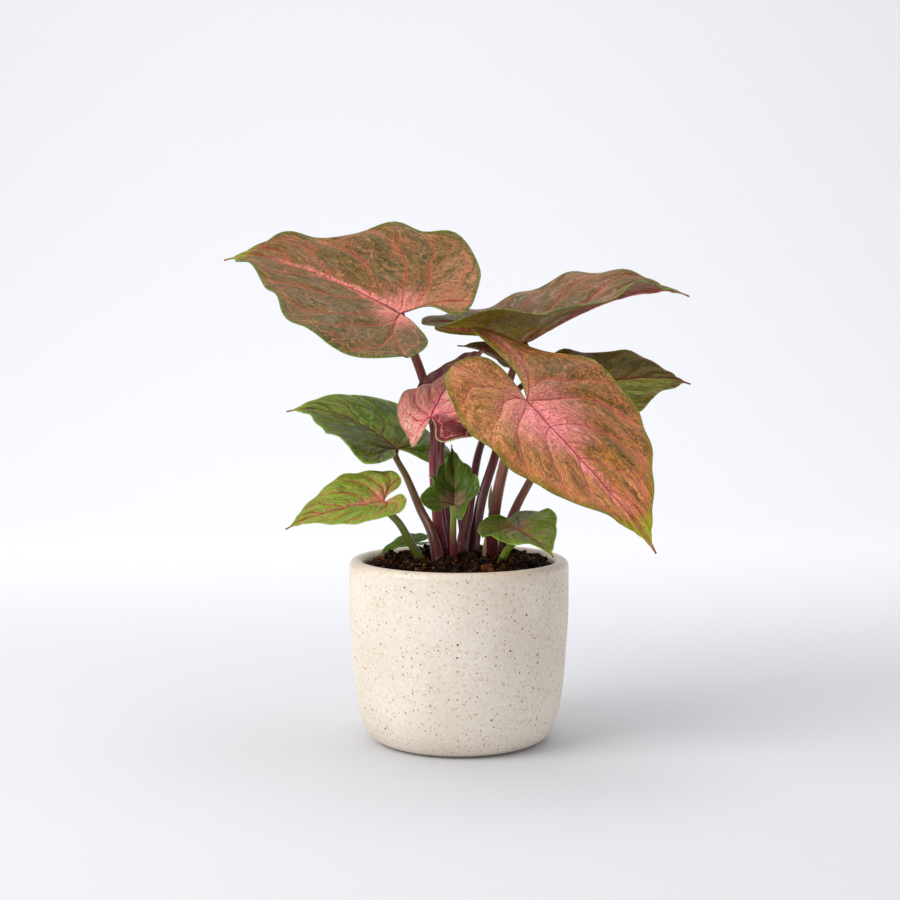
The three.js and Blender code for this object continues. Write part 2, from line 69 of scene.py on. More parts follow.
def new_material(name):
    made = bpy.data.materials.new(name)
    made.use_nodes = True
    made.node_tree.nodes.clear()

    def add(kind, *inputs, **settings):
        """Inputs come in order and then, in a dict, by name: values, nodes or sockets."""
        node = made.node_tree.nodes.new("ShaderNode" + kind)
        for key, value in settings.items():
            setattr(node, key, value)
        named = inputs[-1] if inputs and isinstance(inputs[-1], dict) else {}
        ordered = inputs[:-1] if named else inputs
        for key, value in (*enumerate(ordered), *named.items()):
            if isinstance(value, bpy.types.Node):
                value = next(out for out in value.outputs if out.enabled)
            if isinstance(value, bpy.types.NodeSocket):
                made.node_tree.links.new(value, node.inputs[key])
            else:
                node.inputs[key].default_value = value
        return node

    return made, add


print("paint card white:", paint("#ffffff"))

# %% [markdown]
# ### Adding a piece and moving its corners
# A new piece starts as a primitive, such as a grid, a plane or a small ball. An operator acts on
# all that is selected, so everything else is deselected first. Shapes as free as a leaf's are
# easiest to reach by moving every corner to its place at once, with a formula.

# %% Adding and moving
def fresh(name, adder, **settings):
    bpy.ops.object.select_all(action="DESELECT")
    adder(**settings)
    made = bpy.context.object
    made.name = made.data.name = name
    return made


def corners(mesh, key="co"):
    """The mesh's corners, or their normals, as rows of three numbers."""
    found = np.empty(3 * len(mesh.vertices))
    mesh.vertices.foreach_get(key, found)
    return found.reshape(-1, 3)


def move_corners(mesh, points):
    mesh.vertices.foreach_set("co", np.asarray(points, dtype=float).ravel())
    mesh.update()


print("the solid pot has", len(corners(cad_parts["pot"].data)), "corners")

# %% [markdown]
# ### Sheets that know their own places
# Leaves, stalks and soil are sheets, so each starts as a flat grid. A corner knows its share of
# the way across and along the grid, and is moved to where that share lies on the piece. Numbers
# that a finish needs later, such as the distance to a vein, are kept with the corners: they
# follow the sheet through every bend, where a pattern laid in space would not.

# %% Grids and numbers kept with them
def note(mesh, name, values):
    values = np.asarray(values, dtype=float)
    flat = values.ndim == 1
    kept = mesh.attributes.new(name, "FLOAT" if flat else "FLOAT_VECTOR", "POINT")
    kept.data.foreach_set("value" if flat else "vector", values.ravel())


def noted(mesh, name):
    found = np.empty(len(mesh.vertices))
    mesh.attributes[name].data.foreach_get("value", found)
    return found


def flat_grid(name, across, along):
    made = fresh(name, bpy.ops.mesh.primitive_grid_add,
                 x_subdivisions=across, y_subdivisions=along, size=2)
    shares = corners(made.data)[:, :2] / 2 + 0.5
    return made, np.round(shares[:, 0], 6), np.round(shares[:, 1], 6)


print("a grid of 64 by 72 faces has", 65 * 73, "corners")

# %% [markdown]
# ### Closing and finishing a piece
# Where two sheets meet, or a sheet closes on itself, corners lie double, and they are merged.
# Then the faces are turned to look outwards. A finished piece gets its materials, rides on the
# pot's body and stands for a node of the solid model, whose solid is hidden. Pieces that
# only the dressed model has, such as crumbs of soil, stand for no node.

# %% Joining, turning and finishing
MERGE = 0.004 * MM


def joined(pieces, name, merge=MERGE):
    bpy.ops.object.select_all(action="DESELECT")
    for piece in pieces:
        piece.select_set(True)
    bpy.context.view_layer.objects.active = pieces[0]
    if len(pieces) > 1:
        bpy.ops.object.join()
    made = bpy.context.object
    made.name = made.data.name = name
    bpy.ops.object.mode_set(mode="EDIT")
    bpy.ops.mesh.select_all(action="SELECT")
    bpy.ops.mesh.remove_doubles(threshold=merge)
    bpy.ops.object.mode_set(mode="OBJECT")
    return made


def faced_outwards():
    bpy.ops.object.mode_set(mode="EDIT")
    bpy.ops.mesh.select_all(action="SELECT")
    bpy.ops.mesh.normals_make_consistent(inside=False)
    bpy.ops.object.mode_set(mode="OBJECT")


def finished(piece, node, *materials):
    piece.data.materials.clear()
    for material in materials:
        piece.data.materials.append(material)
    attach(piece, "root")
    if node:
        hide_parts(node)
    piece.data.calc_loop_triangles()
    print(piece.name, len(piece.data.loop_triangles), "triangles")


print(f"corners closer than {MERGE / MM} mm are merged")

# %% [markdown]
# ## The leaves' shapes
# Each leaf is first drawn flat, as a botanist would: a length from stalk to tip, a half width and
# two back lobes. It is then bent: the midrib arches, the sides fold up and roll over, and the
# margin waves. The numbers are those of the solid blades, so that each leaf fills its solid's
# place. Lengths are in millimetres and turns in degrees.
#
# - `taper` is how full the outline is near the tip, half way and near the stalk.
# - `bend` arches the midrib evenly and `droop` mostly at its tip. `sway` and `twist` turn it.
# - `veins` counts the side veins in front of the stalk and in a lobe. `quilt` is how much the
#   skin bulges between them, `scallop` how far the margin draws in at them, and `flutter` how
#   much the margin ripples.
# - On each side, `fold` lifts the half blade, with more at the lobe and at the tip by `lobe_fold`
#   and `tip_fold`. `curl` rolls the margin down, and `lift` raises the lobe.
# - `wide` and `reach` make the half wider and its lobe longer. `spread` moves the lobe's end out,
#   `sinus` opens the cut between the lobes, and `hook` draws the end of the lobe in.
# - `wave` is the height, number and start of the waves across the half. `ruffle` is how far the
#   margin goes up and down, and out and in, with the number and start of its ruffles.

# %% Shapes that most leaves share
SHAPE = dict(taper=(0.25, 0.64, 0.94), sway=0, twist=0, veins=(6, 3), quilt=1, scallop=0.03,
             flutter=0.7)
SIDE = dict(fold=15, lobe_fold=0, tip_fold=0, curl=12, lift=0, spread=0.75, wide=1, reach=1,
            sinus=0, hook=0, ruffle=(0.3, 0.2, 3, 0))
LEAVES = {}
print("a leaf may leave out", len(SHAPE), "values, and each of its sides", len(SIDE))

# %% [markdown]
# ### The large leaves
# The oldest blades are the largest, 7 to 13 cm long. Their own weight bends them: tips hang and
# margins ruffle. `at` is where the stalk joins, `heading` the way the tip points, `pitch` its
# rise and `roll` the lean to one side. `foot` is where the stalk leaves the soil, `way` holds
# points that it passes, and `stalk` its radius at the top and at the foot.

# %% Large leaves
LEAVES.update(
    upper_left=dict(
        at=(-32, 6, 233), heading=145, pitch=24, roll=33, length=133, half_width=56, lobe=39,
        taper=(0.26, 0.58, 0.92), bend=-4, droop=-32, sway=-12, twist=-7,
        right=dict(fold=17, lobe_fold=24, curl=4, lift=10, reach=1.04, spread=0.54, sinus=1.3,
                   hook=0.8, wave=(5.7, 1.35, 16), ruffle=(3.1, 1.4, 2.6, 106)),
        left=dict(fold=17, lobe_fold=7, curl=9, lift=-5, reach=0.89, spread=0.73, sinus=-0.45,
                  wave=(2.4, 1.4, 60), ruffle=(2.2, 0.1, 3.2, -17)),
        foot=(-6, 16), way=((-10, 12, 147), (-18, 22, 190), (-26, 15, 214)), stalk=(2.2, 3.0)),
    upper_right=dict(
        at=(36, 39, 217), heading=25, pitch=29, roll=-4, length=115, half_width=48, lobe=53,
        taper=(0.24, 0.65, 0.92), bend=-17, droop=-36, sway=-1, twist=-12,
        right=dict(fold=26, lobe_fold=22, tip_fold=-6, curl=6, lift=28, spread=0.9, sinus=1.1,
                   wave=(3.8, 1.35, 120), ruffle=(0.8, 2.5, 2.5, -85)),
        left=dict(fold=28, lobe_fold=-3, curl=19, lift=33, spread=1.15, reach=0.8, sinus=1.1,
                  wave=(4.5, 1.3, 146), ruffle=(1.7, 0, 3.8, 166)),
        foot=(7, 6), way=((12, 13, 129), (21, 19, 158), (30, 32, 201)), stalk=(1.9, 2.8)),
    front_right=dict(
        at=(35, -48, 188), heading=-30, pitch=-43, roll=-9, length=108, half_width=47, lobe=50,
        taper=(0.24, 0.71, 0.97), bend=10, droop=-14, sway=16, twist=-11,
        right=dict(fold=9, lobe_fold=-20, curl=33, lift=16, spread=0.73, reach=0.69,
                   sinus=-0.45, wave=(2.6, 1.9, -88), ruffle=(1.2, 0.1, 3.1, -80)),
        left=dict(fold=30, lobe_fold=-36, lift=-6, wide=1.04, reach=1.22, spread=0.78,
                  sinus=0.7, wave=(1.6, 1.6, 50), ruffle=(0.7, 0.3, 2.2, 136)),
        foot=(17.5, -8), way=((19, -20, 127), (24, -33, 155), (29, -43, 174)), stalk=(2.4, 3.0)),
    right_rear=dict(
        at=(68, 5, 193), heading=21, pitch=13, roll=-22, length=69, half_width=29, lobe=32,
        bend=-23, droop=-10, twist=-7,
        right=dict(fold=-2, wave=(2.7, 1.7, 60), ruffle=(0.5, -0.3, 2.1, 43)),
        left=dict(fold=23, tip_fold=4, curl=14, reach=0.7, wave=(3.7, 1.7, 117),
                  ruffle=(0.8, 0.3, 2.1, 45)),
        foot=(22, 14), way=((31, 12, 125), (39, 10, 141), (55, 7, 169)), stalk=(1.8, 2.3)))
print("longest blade:", max(leaf["length"] for leaf in LEAVES.values()), "mm")

# %% [markdown]
# ### The middle leaves
# Younger blades of 5 to 8 cm stand in the middle and on the left. The pink one has only just
# opened and is still soft and puffed, the maroon one is half unrolled, and the two on the left
# are firm, flat and quilted.

# %% Middle leaves
LEAVES.update(
    centre_pink=dict(
        at=(-15, -20, 178), heading=59, pitch=48, roll=1, length=54, half_width=25, lobe=18,
        bend=-20, droop=-7, twist=6, quilt=1.6,
        right=dict(fold=-2, lobe_fold=12, curl=32, lift=2, wide=1.06, spread=0.86, sinus=0.6,
                   wave=(3.5, 1.6, -76)),
        left=dict(fold=-1, lobe_fold=-31, tip_fold=-10, curl=8, spread=0.5, wide=0.94,
                  reach=0.85, lift=-2, sinus=-0.4, wave=(6.5, 1.2, -30)),
        foot=(-9, 3), way=((-12, -4, 125), (-14, -12, 154)), stalk=(1.7, 3.2)),
    centre_maroon=dict(
        at=(-7, 8, 185), heading=54, pitch=45, roll=0, length=50, half_width=18, lobe=23,
        bend=-16, droop=-10, sway=-6,
        right=dict(fold=30, curl=15, wave=(1.1, 1.6, 0)),
        left=dict(fold=34, curl=11, wave=(1.5, 1.6, 60)),
        foot=(-3.5, 9.5), way=((-6.5, 8, 125), (-9.5, 6, 158)), stalk=(1.2, 1.6)),
    left=dict(
        at=(-35, 20, 158), heading=134, pitch=28, roll=10, length=83, half_width=35, lobe=21,
        bend=-17, droop=-22, sway=-26, twist=14, scallop=0.01, flutter=0.25,
        right=dict(fold=14, lobe_fold=12, tip_fold=18, curl=39, lift=-21, spread=0.68,
                   sinus=0.55, wave=(2.5, 1.3, -110), ruffle=(0.3, 0.5, 2.8, 83)),
        left=dict(fold=20, lobe_fold=-14, curl=10, spread=0.98, reach=0.94, lift=29, sinus=0.5,
                  wave=(1.5, 1.6, 10), ruffle=(0, 0.8, 3.7, 49)),
        foot=(-11, -14), way=((-15, -5, 115), (-21, 2, 126), (-29, 12, 143)), stalk=(1.4, 2.9)),
    lower_left=dict(
        at=(-40, -22, 133), heading=189, pitch=-7, roll=30, length=54, half_width=24, lobe=12,
        bend=-10, droop=-17, sway=-4, twist=8, flutter=0.35,
        right=dict(fold=22, lobe_fold=-2, tip_fold=7, curl=18, lift=-5, reach=0.98,
                   spread=0.77, sinus=0.75, wave=(2.3, 1.5, -114)),
        left=dict(fold=24, lobe_fold=-1, curl=17, lift=30, spread=0.78, sinus=-0.45,
                  wave=(1.5, 1.6, 33), ruffle=(0.6, 0, 2.2, 140)),
        foot=(-19, -11), way=((-26, -15, 110), (-32, -18, 121)), stalk=(1.3, 1.6)))
print("leaves so far:", ", ".join(LEAVES))

# %% [markdown]
# ### The small leaves
# The smallest blades sit low between the stalks, one with a notched margin, and one leaf stands
# behind the others. A leaf that has not opened yet is rolled round itself to a thin spear. What
# a leaf doesn't say is filled in from the shared shapes.

# %% Small leaves and the young one
LEAVES.update(
    small_centre=dict(
        at=(-3, -36, 133), heading=85, pitch=33, roll=2, length=40, half_width=17, lobe=14,
        taper=(0.23, 0.62, 0.93), bend=31, droop=-5, sway=-9, veins=(4, 2), quilt=0.6,
        scallop=0.16, flutter=1.5,
        right=dict(fold=33, lobe_fold=7, curl=3, spread=0.55, reach=1.11, lift=-5,
                   wave=(2.5, 1.6, -112)),
        left=dict(fold=37, lobe_fold=17, curl=-8, spread=1.18, reach=0.88, lift=-22, sinus=0.3,
                  wave=(2.6, 1.5, 50)),
        foot=(-3, -17), way=((-3, -28, 119),), stalk=(1.2, 1.5)),
    small_right=dict(
        at=(31, -30, 119), heading=-58, pitch=-9, roll=-6, length=36, half_width=20, lobe=20,
        taper=(0.23, 0.64, 0.95), bend=-10, droop=-12, sway=5, twist=3, veins=(4, 2),
        quilt=0.6, scallop=0.06, flutter=0.9,
        right=dict(fold=14, lobe_fold=-45, tip_fold=4, curl=27, reach=0.89, spread=0.71,
                   lift=46, sinus=-0.45, wave=(1.6, 1.8, -31)),
        left=dict(fold=26, lobe_fold=3, curl=0, lift=-15, reach=1.06, spread=0.6,
                  wave=(1.7, 1.6, 38)),
        foot=(22, -17), way=((25, -22, 106),), stalk=(1.3, 1.6)),
    low_rear=dict(
        at=(-25, 22, 105), heading=195, pitch=-4, roll=19, length=22, half_width=9, lobe=9,
        bend=-25, droop=-14, sway=-6, veins=(4, 2), quilt=0.5,
        right=dict(wave=(0.4, 1.6, 0)), left=dict(fold=25, curl=6, wave=(0.4, 1.6, 90)),
        foot=(-18, 15), way=((-21, 18, 102),), stalk=(0.9, 1.1)),
    rear=dict(
        at=(39, 56, 195), heading=175, pitch=43, roll=11, length=45, half_width=17, lobe=16,
        bend=-26, droop=-20, sway=-5, twist=5, veins=(4, 2),
        right=dict(fold=33, tip_fold=6, wave=(2.7, 1.6, 0)),
        left=dict(fold=19, curl=11, wave=(2.7, 1.7, 34)),
        foot=(1, -3), way=((6, 11, 129), (12, 29, 159), (24, 47, 182)), stalk=(1.5, 2.9)))
for name, given in LEAVES.items():
    LEAVES[name] = {**SHAPE, **given, **{key: {**SIDE, **given[key]} for key in ("right", "left")}}
SPEAR = dict(foot=(2.6, -9), way=((1.6, -9, 112), (-0.3, -9.5, 125), (-1.5, -10, 134)), radius=1.2)
print(len(LEAVES), "leaves and a rolled young one")

# %% [markdown]
# ### Smooth curves
# A leaf's outline has no corners, so it is a smooth curve through a few points, as a spline ruler
# would draw it. A vein is a plain three-point arch from the midrib to the margin.

# %% Curves
def along_spline(points, place, after=None):
    """Points on the smooth curve through `points`, at shares `place` of the way along it. The
    curve heads for the point `after` as it ends."""
    known = np.array([points[0], *points, points[-1] if after is None else after], dtype=float)
    last = len(points) - 1
    place = np.clip(place, 0, 1) * last
    lower = np.minimum(place.astype(int), last - 1)
    t = (place - lower)[:, None]
    a, b, c, d = (known[lower + i] for i in range(4))
    return 0.5 * (2 * b + (c - a) * t + (2 * a - 5 * b + 4 * c - d) * t ** 2
                  + (3 * b - a - 3 * c + d) * t ** 3)


def arch(start, middle, end, t):
    t = np.asarray(t)[:, None]
    return (1 - t) ** 2 * start + 2 * t * (1 - t) * middle + t ** 2 * end


print("top of an arch:", arch(np.zeros(2), np.array((1, 2)), np.array((2, 0)), [0.5])[0])

# %% [markdown]
# ### Drawing a leaf flat
# Ribs are numbered from 0 at the tip, over 4.5 where they leave the stalk, to 7 at the lobe's
# end, and each runs from the midrib, or from the lobe's main vein, out to the margin. A corner
# of the blade is known by its rib and by its share of the way out. That makes the veins easy to
# find again later, because side veins lie at even steps of the rib number. Only one half is
# drawn, as if it were the right one, and the left is its mirror image with numbers of its own.

# %% The flat half blade
ROOT, LAST = 4.5, 7
RIB_STARTS = (1, 0.87, 0.67, 0.39, 0.1, 0)  # where ribs 0 to 4, and 4.5, leave the midrib
VEIN_BOW = 0.12  # how much a vein bows, as a share of its length


def outlines(leaf, side):
    """Points of the margin from tip to lobe's end, of the lobe's inner edge, and the middle of
    the lobe's main vein."""
    length, width = leaf["length"], leaf["half_width"] * side["wide"]
    lobe, spread = leaf["lobe"] * side["reach"], side["spread"]
    slim, middle, full = leaf["taper"]
    end = (0.78 * spread * width, -lobe)
    margin = ((0, length), (0.045 * width, 0.925 * length), (slim * width, 0.8 * length),
              (middle * width, 0.53 * length), (full * width, 0.27 * length),
              (width, 0.03 * length), (0.51 * (0.95 + spread) * width, -0.68 * lobe), end)
    opening = side["sinus"]
    inner = ((0, 0), ((0.1 + 0.2 * opening) * spread * width, -0.3 * lobe),
             ((0.33 + 0.22 * (opening - side["hook"])) * spread * width, -0.85 * lobe), end)
    return margin, inner, (0.62 * spread * width, -0.3 * lobe)


def half_blade(leaf, side, rib, out):
    """Flat places of ribs and shares out; a share below 0 is on the lobe's inner side."""
    margin, inner, lobe_middle = outlines(leaf, side)
    behind = np.clip((rib - ROOT) / (LAST - ROOT), 0, 1)
    lobe_vein = arch(np.zeros(2), np.array(lobe_middle), np.array(margin[-1]), behind)
    midrib = np.stack([np.zeros_like(rib), leaf["length"] * np.interp(
        rib, (0, 1, 2, 3, 4, ROOT), RIB_STARTS)], -1)
    start = np.where((rib > ROOT)[:, None], lobe_vein, midrib)
    outside = along_spline(margin, rib / LAST, inner[-2])
    inside = along_spline(inner, behind, margin[-2])
    reach = np.linalg.norm(outside - start, axis=1)
    bow = VEIN_BOW * reach * np.clip(LAST - rib, 0, 1)
    middle = (start + outside) / 2 - np.stack([np.zeros_like(bow), bow], -1)
    outer = arch(start, middle, outside, np.abs(out))
    inward = start + (inside - start) * np.abs(out)[:, None]
    flat = np.where((out < 0)[:, None], inward, outer)
    return flat, np.where(out < 0, np.linalg.norm(inside - start, axis=1), reach)


widest = half_blade(LEAVES["left"], LEAVES["left"]["left"], np.linspace(0, LAST, 50), np.ones(50))
print("the left leaf's half is", round(widest[0][:, 0].max(), 1), "mm wide")

# %% [markdown]
# ### Bending the flat leaf
# A real blade curves because its midrib arches and its halves fold, wave and curl. A cloth
# simulation would sag it like a rag, but a leaf is stiff, so each bend is a turn by an angle that
# grows along or across the leaf. First the half is folded, waved and twisted round the midrib,
# then the midrib is arched and swayed, and last the whole leaf is put at the end of its stalk.

# %% The bend
def blade_place(leaf):
    """Blade to world: local X is the blade's right, Y its tip and Z its upper face."""
    turn = (Matrix.Rotation(math.radians(leaf["heading"] - 90), 4, "Z")
            @ Matrix.Rotation(math.radians(leaf["pitch"]), 4, "X")
            @ Matrix.Rotation(-math.radians(leaf["roll"]), 4, "Y"))
    return np.array(Matrix.Translation(leaf["at"]) @ turn)


def folded(leaf, side, flat, out):
    """How far out and how high the corners of a half blade are, and how far its lobe is raised."""
    across, along = flat[:, 0], flat[:, 1]
    length, width = leaf["length"], leaf["half_width"] * side["wide"]
    lobe = leaf["lobe"] * side["reach"]
    ahead, behind = np.clip(along / length, 0, 1), np.clip(-along / lobe, 0, 1.1)
    wide = across / width
    rise = np.radians(side["fold"] + side["tip_fold"] * ahead ** 2 + side["lobe_fold"] * behind
                      - 0.5 * side["curl"] * wide)
    height, number, start = side["wave"]
    swing = np.sin(2 * math.pi * number * along / length + math.radians(start))
    ripple, scallop, count, phase = side["ruffle"]
    edge = np.clip(out, 0, 1) ** 2 * np.minimum(1, 2.5 * wide) * np.sin(
        2 * math.pi * count * along / length + math.radians(phase))
    lift, raised = math.radians(side["lift"]), lobe * behind ** 2 / (behind + 0.15)
    off = height * np.clip(wide, 0, 1.2) ** 1.5 * swing + raised * math.sin(lift) + ripple * edge
    across = across + scallop * edge
    return (across * np.cos(rise) - off * np.sin(rise), across * np.sin(rise) + off * np.cos(rise),
            raised * (1 - math.cos(lift)) - lobe * behind)


def bent(leaf, side, mirror, flat, out):
    """Where the corners of a flat half blade are once the leaf is folded, waved and arched."""
    x, z, back = folded(leaf, side, flat, out)
    x = mirror * x
    ahead = np.clip(flat[:, 1] / leaf["length"], 0, 1)
    turn = -np.radians(leaf["twist"] * ahead)
    x, z = x * np.cos(turn) + z * np.sin(turn), z * np.cos(turn) - x * np.sin(turn)
    turn = np.radians(leaf["bend"] * ahead + leaf["droop"] * ahead ** 4)
    y, z = -z * np.sin(turn), z * np.cos(turn)
    turn = -np.radians(leaf["sway"] * ahead)
    x, y = x * np.cos(turn) - y * np.sin(turn), x * np.sin(turn) + y * np.cos(turn)
    climb = np.radians(0.5 * leaf["bend"] * ahead + 0.2 * leaf["droop"] * ahead ** 4)
    turn = np.radians(0.5 * leaf["sway"] * ahead)
    reach = np.maximum(flat[:, 1], 0)
    local = np.stack([x + reach * np.sin(turn) * np.cos(climb),
                      y + reach * np.cos(turn) * np.cos(climb) + back,
                      z + reach * np.sin(climb), np.ones_like(x)])
    return (blade_place(leaf) @ local)[:3].T


print("a leaf's place:", np.round(blade_place(LEAVES["left"])[:3, 3], 1))

# %% [markdown]
# ### Side veins
# Side veins leave the midrib at a sharp angle and sweep towards the tip, and those of the lobes
# fan out from close to the point where all veins meet. The corners of the sheet follow them, and
# lie closer together near each vein, because there the blade dips. The margin swells a little
# between two veins.

# %% Where the side veins run
def vein_steps(share, count, amount=0.6):
    place = share * count
    part = place % 1
    return (place - amount * np.sin(2 * math.pi * part) / (2 * math.pi)) / count


def along_vein(rib, out):
    """The rib at which a corner lies, when its vein sweeps towards the tip on its way out."""
    back = np.clip((rib - ROOT) / (LAST - ROOT), 0, 1)
    fanned = ROOT + (LAST - ROOT) * back ** (1 + 0.8 * (1 - out) ** 2)
    rib = np.where(rib > ROOT, fanned, rib)
    ends = (1 - np.exp(-rib / 2)) * (1 - np.exp(-(LAST - rib) / 0.9))
    wander = 0.12 * np.sin(5.1 * rib + 6 * out) * np.sin(math.pi * out)
    return rib - ends * (0.75 * out + 0.6 * out ** 2 - wander)


def scalloped(leaf, count, share):
    swell = np.sin(math.pi * count) ** 2 - 0.6
    return share * (1 + leaf["scallop"] * share ** 2 * swell)


print("a vein from rib 3 ends at rib", round(float(along_vein(np.array(3.0), 1.0)), 2))

# %% [markdown]
# ### Distances for the finish
# The colours of a leaf follow its veins and its margin, so the mesh keeps how far each corner is
# from them, measured on the flat leaf. Three lines are drawn for that: the outline, the inner
# edge of the lobe and the midrib with the lobe's main vein. The gap from one vein to the next is
# found from two nearby points, one a little along the leaf and one a little further out.

# %% Measuring on the flat leaf
TRACE, NEARBY = 150, 0.01


def distance_to(points, line):
    start, step = line[:-1], np.diff(line, axis=0)
    away = points[:, None] - start
    share = np.clip((away * step).sum(-1) / (step ** 2).sum(-1).clip(1e-9), 0, 1)
    return np.linalg.norm(away - share[..., None] * step, axis=-1).min(axis=1)


def to_margin_and_midrib(leaf, side, flat):
    """How far flat places are from the margin and from the midrib or the lobe's main vein."""
    front, back = leaf["veins"]
    trace, edge = np.linspace(0, LAST, TRACE), np.ones(TRACE)
    vein = front * np.minimum(trace, ROOT) / ROOT + back * np.maximum(
        0, trace - ROOT) / (LAST - ROOT)
    outline, _ = half_blade(leaf, side, along_vein(trace, edge), scalloped(leaf, vein, edge))
    cut, _ = half_blade(leaf, side, trace[-50:], -edge[-50:])
    spine, _ = half_blade(leaf, side, trace, 0 * edge)
    return np.minimum(distance_to(flat, outline), distance_to(flat, cut)), distance_to(flat, spine)


def rib_gap(leaf, side, rib, share, out, flat):
    """How far one rib number is from the next, measured square to the ribs."""
    later, _ = half_blade(leaf, side, along_vein(rib + NEARBY, share), out)
    further, _ = half_blade(leaf, side, along_vein(rib, share + NEARBY), out + NEARBY)
    step, ahead = (later - flat) / NEARBY, further - flat
    ahead /= np.linalg.norm(ahead, axis=1)[:, None].clip(1e-6)
    return np.abs(step[:, 0] * ahead[:, 1] - step[:, 1] * ahead[:, 0])


edge, spine = to_margin_and_midrib(LEAVES["left"], LEAVES["left"]["left"], np.array([(12, 30)]))
print("mm from the left leaf's margin and midrib:", edge.round(1), spine.round(1))

# %% [markdown]
# ### From three grids to a leaf
# A blade could be cut from one sheet, but its lobes fork behind the stalk. Three grids follow
# the veins better: one for the front, and one for each back lobe. On a grid, `x` runs across the
# blade and `y` from the last rib to the first. The corners are moved to the bent leaf, and their
# distances are kept with them. The upper face bulges between the side veins and flutters at the
# margin, which is worked out here and added once the parts are joined.

# %% Blade pieces
QUILT = 1.4  # how far a large leaf bulges between two side veins
TO_MIDRIB = 1.3  # packs the corners closer towards the midrib
NO_VEIN = 12.0  # the distance told on the inner side of a lobe, which has no side veins


def part_ribs(leaf, part, x, y):
    """Ribs, hands, shares out and vein counts of a part's corners, and the ribs to each vein."""
    front, back = leaf["veins"]
    if part == "front":
        rib = ROOT * vein_steps(1 - y, front)
        mirror, out = np.where(x < 0, -1, 1), np.abs(x) ** TO_MIDRIB
        return rib, mirror, out, front * rib / ROOT, ROOT / front
    rib = ROOT + (LAST - ROOT) * vein_steps(1 - y, back)
    mirror = np.full(len(x), 1 if part == "right" else -1)
    out = np.sign(x * mirror) * np.abs(x) ** TO_MIDRIB
    return rib, mirror, out, front + back * (rib - ROOT) / (LAST - ROOT), (LAST - ROOT) / back


def blade_part(leaf, number, part, across, along):
    """One grid of a blade: its front, or its right or left lobe."""
    piece, x, y = flat_grid("blade_part", across, along)
    rib, mirror, out, count, gap = part_ribs(leaf, part, 2 * x - 1, y)
    share, inner = np.abs(out), out < 0
    out = np.where(inner, out, scalloped(leaf, count, share))
    shown = np.where(inner, 0, share)
    points, flats = np.empty((len(x), 3)), np.empty((len(x), 2))
    known = {key: np.empty(len(x)) for key in ("midrib", "margin", "between", "reach")}
    for hand, name in ((1, "right"), (-1, "left")):
        on = mirror == hand
        if on.any():
            side = leaf[name]
            flat, known["reach"][on] = half_blade(
                leaf, side, along_vein(rib[on], shown[on]), out[on])
            points[on] = bent(leaf, side, hand, flat, out[on])
            flats[on] = flat * (hand, 1)
            known["between"][on] = rib_gap(leaf, side, rib[on], shown[on], out[on], flat)
            known["margin"][on], known["midrib"][on] = to_margin_and_midrib(leaf, side, flat)
    known["between"] *= gap
    side_vein = np.abs((count + 0.5) % 1 - 0.5) * known["between"]
    known["side_vein"] = np.where(inner, NO_VEIN, side_vein)
    bulge = np.abs(np.sin(math.pi * count)) ** 1.3 * np.sqrt(np.clip(4 * share * (1 - share), 0, 1))
    bulge *= np.clip(known["reach"] / 18, 0, 1)
    flutter = np.sin(2.3 * count + 2 * mirror) + 0.6 * np.sin(5.9 * count + mirror)
    known["bulge"] = np.where(inner, 0, QUILT * leaf["quilt"] * bulge
                              + leaf["flutter"] * share ** 4 * flutter
                              * np.clip(known["reach"] / 14, 0, 1))
    lane = np.where(inner, 200 + 12 * rib, 14 * rib + 100 * mirror)
    mesh = piece.data
    move_corners(mesh, points * MM)
    for key, values in known.items():
        note(mesh, key, values)
    # The last number of a place differs from leaf to leaf, so that no two have the same pattern.
    note(mesh, "vein", np.column_stack([count, np.where(inner, -1, share), known["between"]]))
    note(mesh, "flat", np.column_stack([flats, np.full(len(x), 40.0 * number)]))
    note(mesh, "streak", np.column_stack([share * known["reach"], lane,
                                          np.full(len(x), 7.0 * number)]))
    return piece


print("large leaves bulge by up to", QUILT, "mm between their veins")

# %% [markdown]
# ### One whole blade
# The three parts are joined and their seams merged. The upper face dips along the veins, and
# Solidify gives the blade its thickness downwards. The real blade is about 0.4 mm thick, with
# more under the veins: that is how the ribs of the underside stand out. A vertex group tells the
# modifier how thick each corner is, and the faces that it adds take the second material, which
# will be the dull underside.

# %% Whole blades
BLADE = 0.7  # the solid blade's thickness
SKIN = 0.4  # the real blade's, between the veins
MIDRIB, SIDE_RIB = 1.6, 0.7  # what the veins add below the blade where they leave the stalk
DIP, SIDE_DIP = 0.4, 0.16  # how deep the veins lie in the upper face
LARGE = 110  # the length of blade that these are measured on
LEVELS = 32  # steps of thickness


def shape_blade(mesh, size):
    """Raises the upper face between the veins, and says how thick the blade is where."""
    away, side, edge = (noted(mesh, key) for key in ("midrib", "side_vein", "margin"))
    narrow = np.clip(edge / 4 + away / 6, 0, 1) * np.clip(noted(mesh, "reach") / 14, 0, 1)
    dip = DIP * np.exp(-(away / (1.5 * size)) ** 2) + SIDE_DIP * np.exp(-(side / 0.9) ** 2)
    height = noted(mesh, "bulge") + BLADE / 2 - 0.1 - dip * narrow * min(1, size ** 0.5)
    move_corners(mesh, corners(mesh) + corners(mesh, "normal") * height[:, None] * MM)
    rib = MIDRIB * size ** 0.7 * np.exp(-(away / (1.0 * size)) ** 2)
    rib = np.maximum(rib, SIDE_RIB * size * np.exp(-(side / 0.6) ** 2) * np.exp(-away / 30))
    return SKIN + rib * np.clip(edge / 9, 0.05, 1)


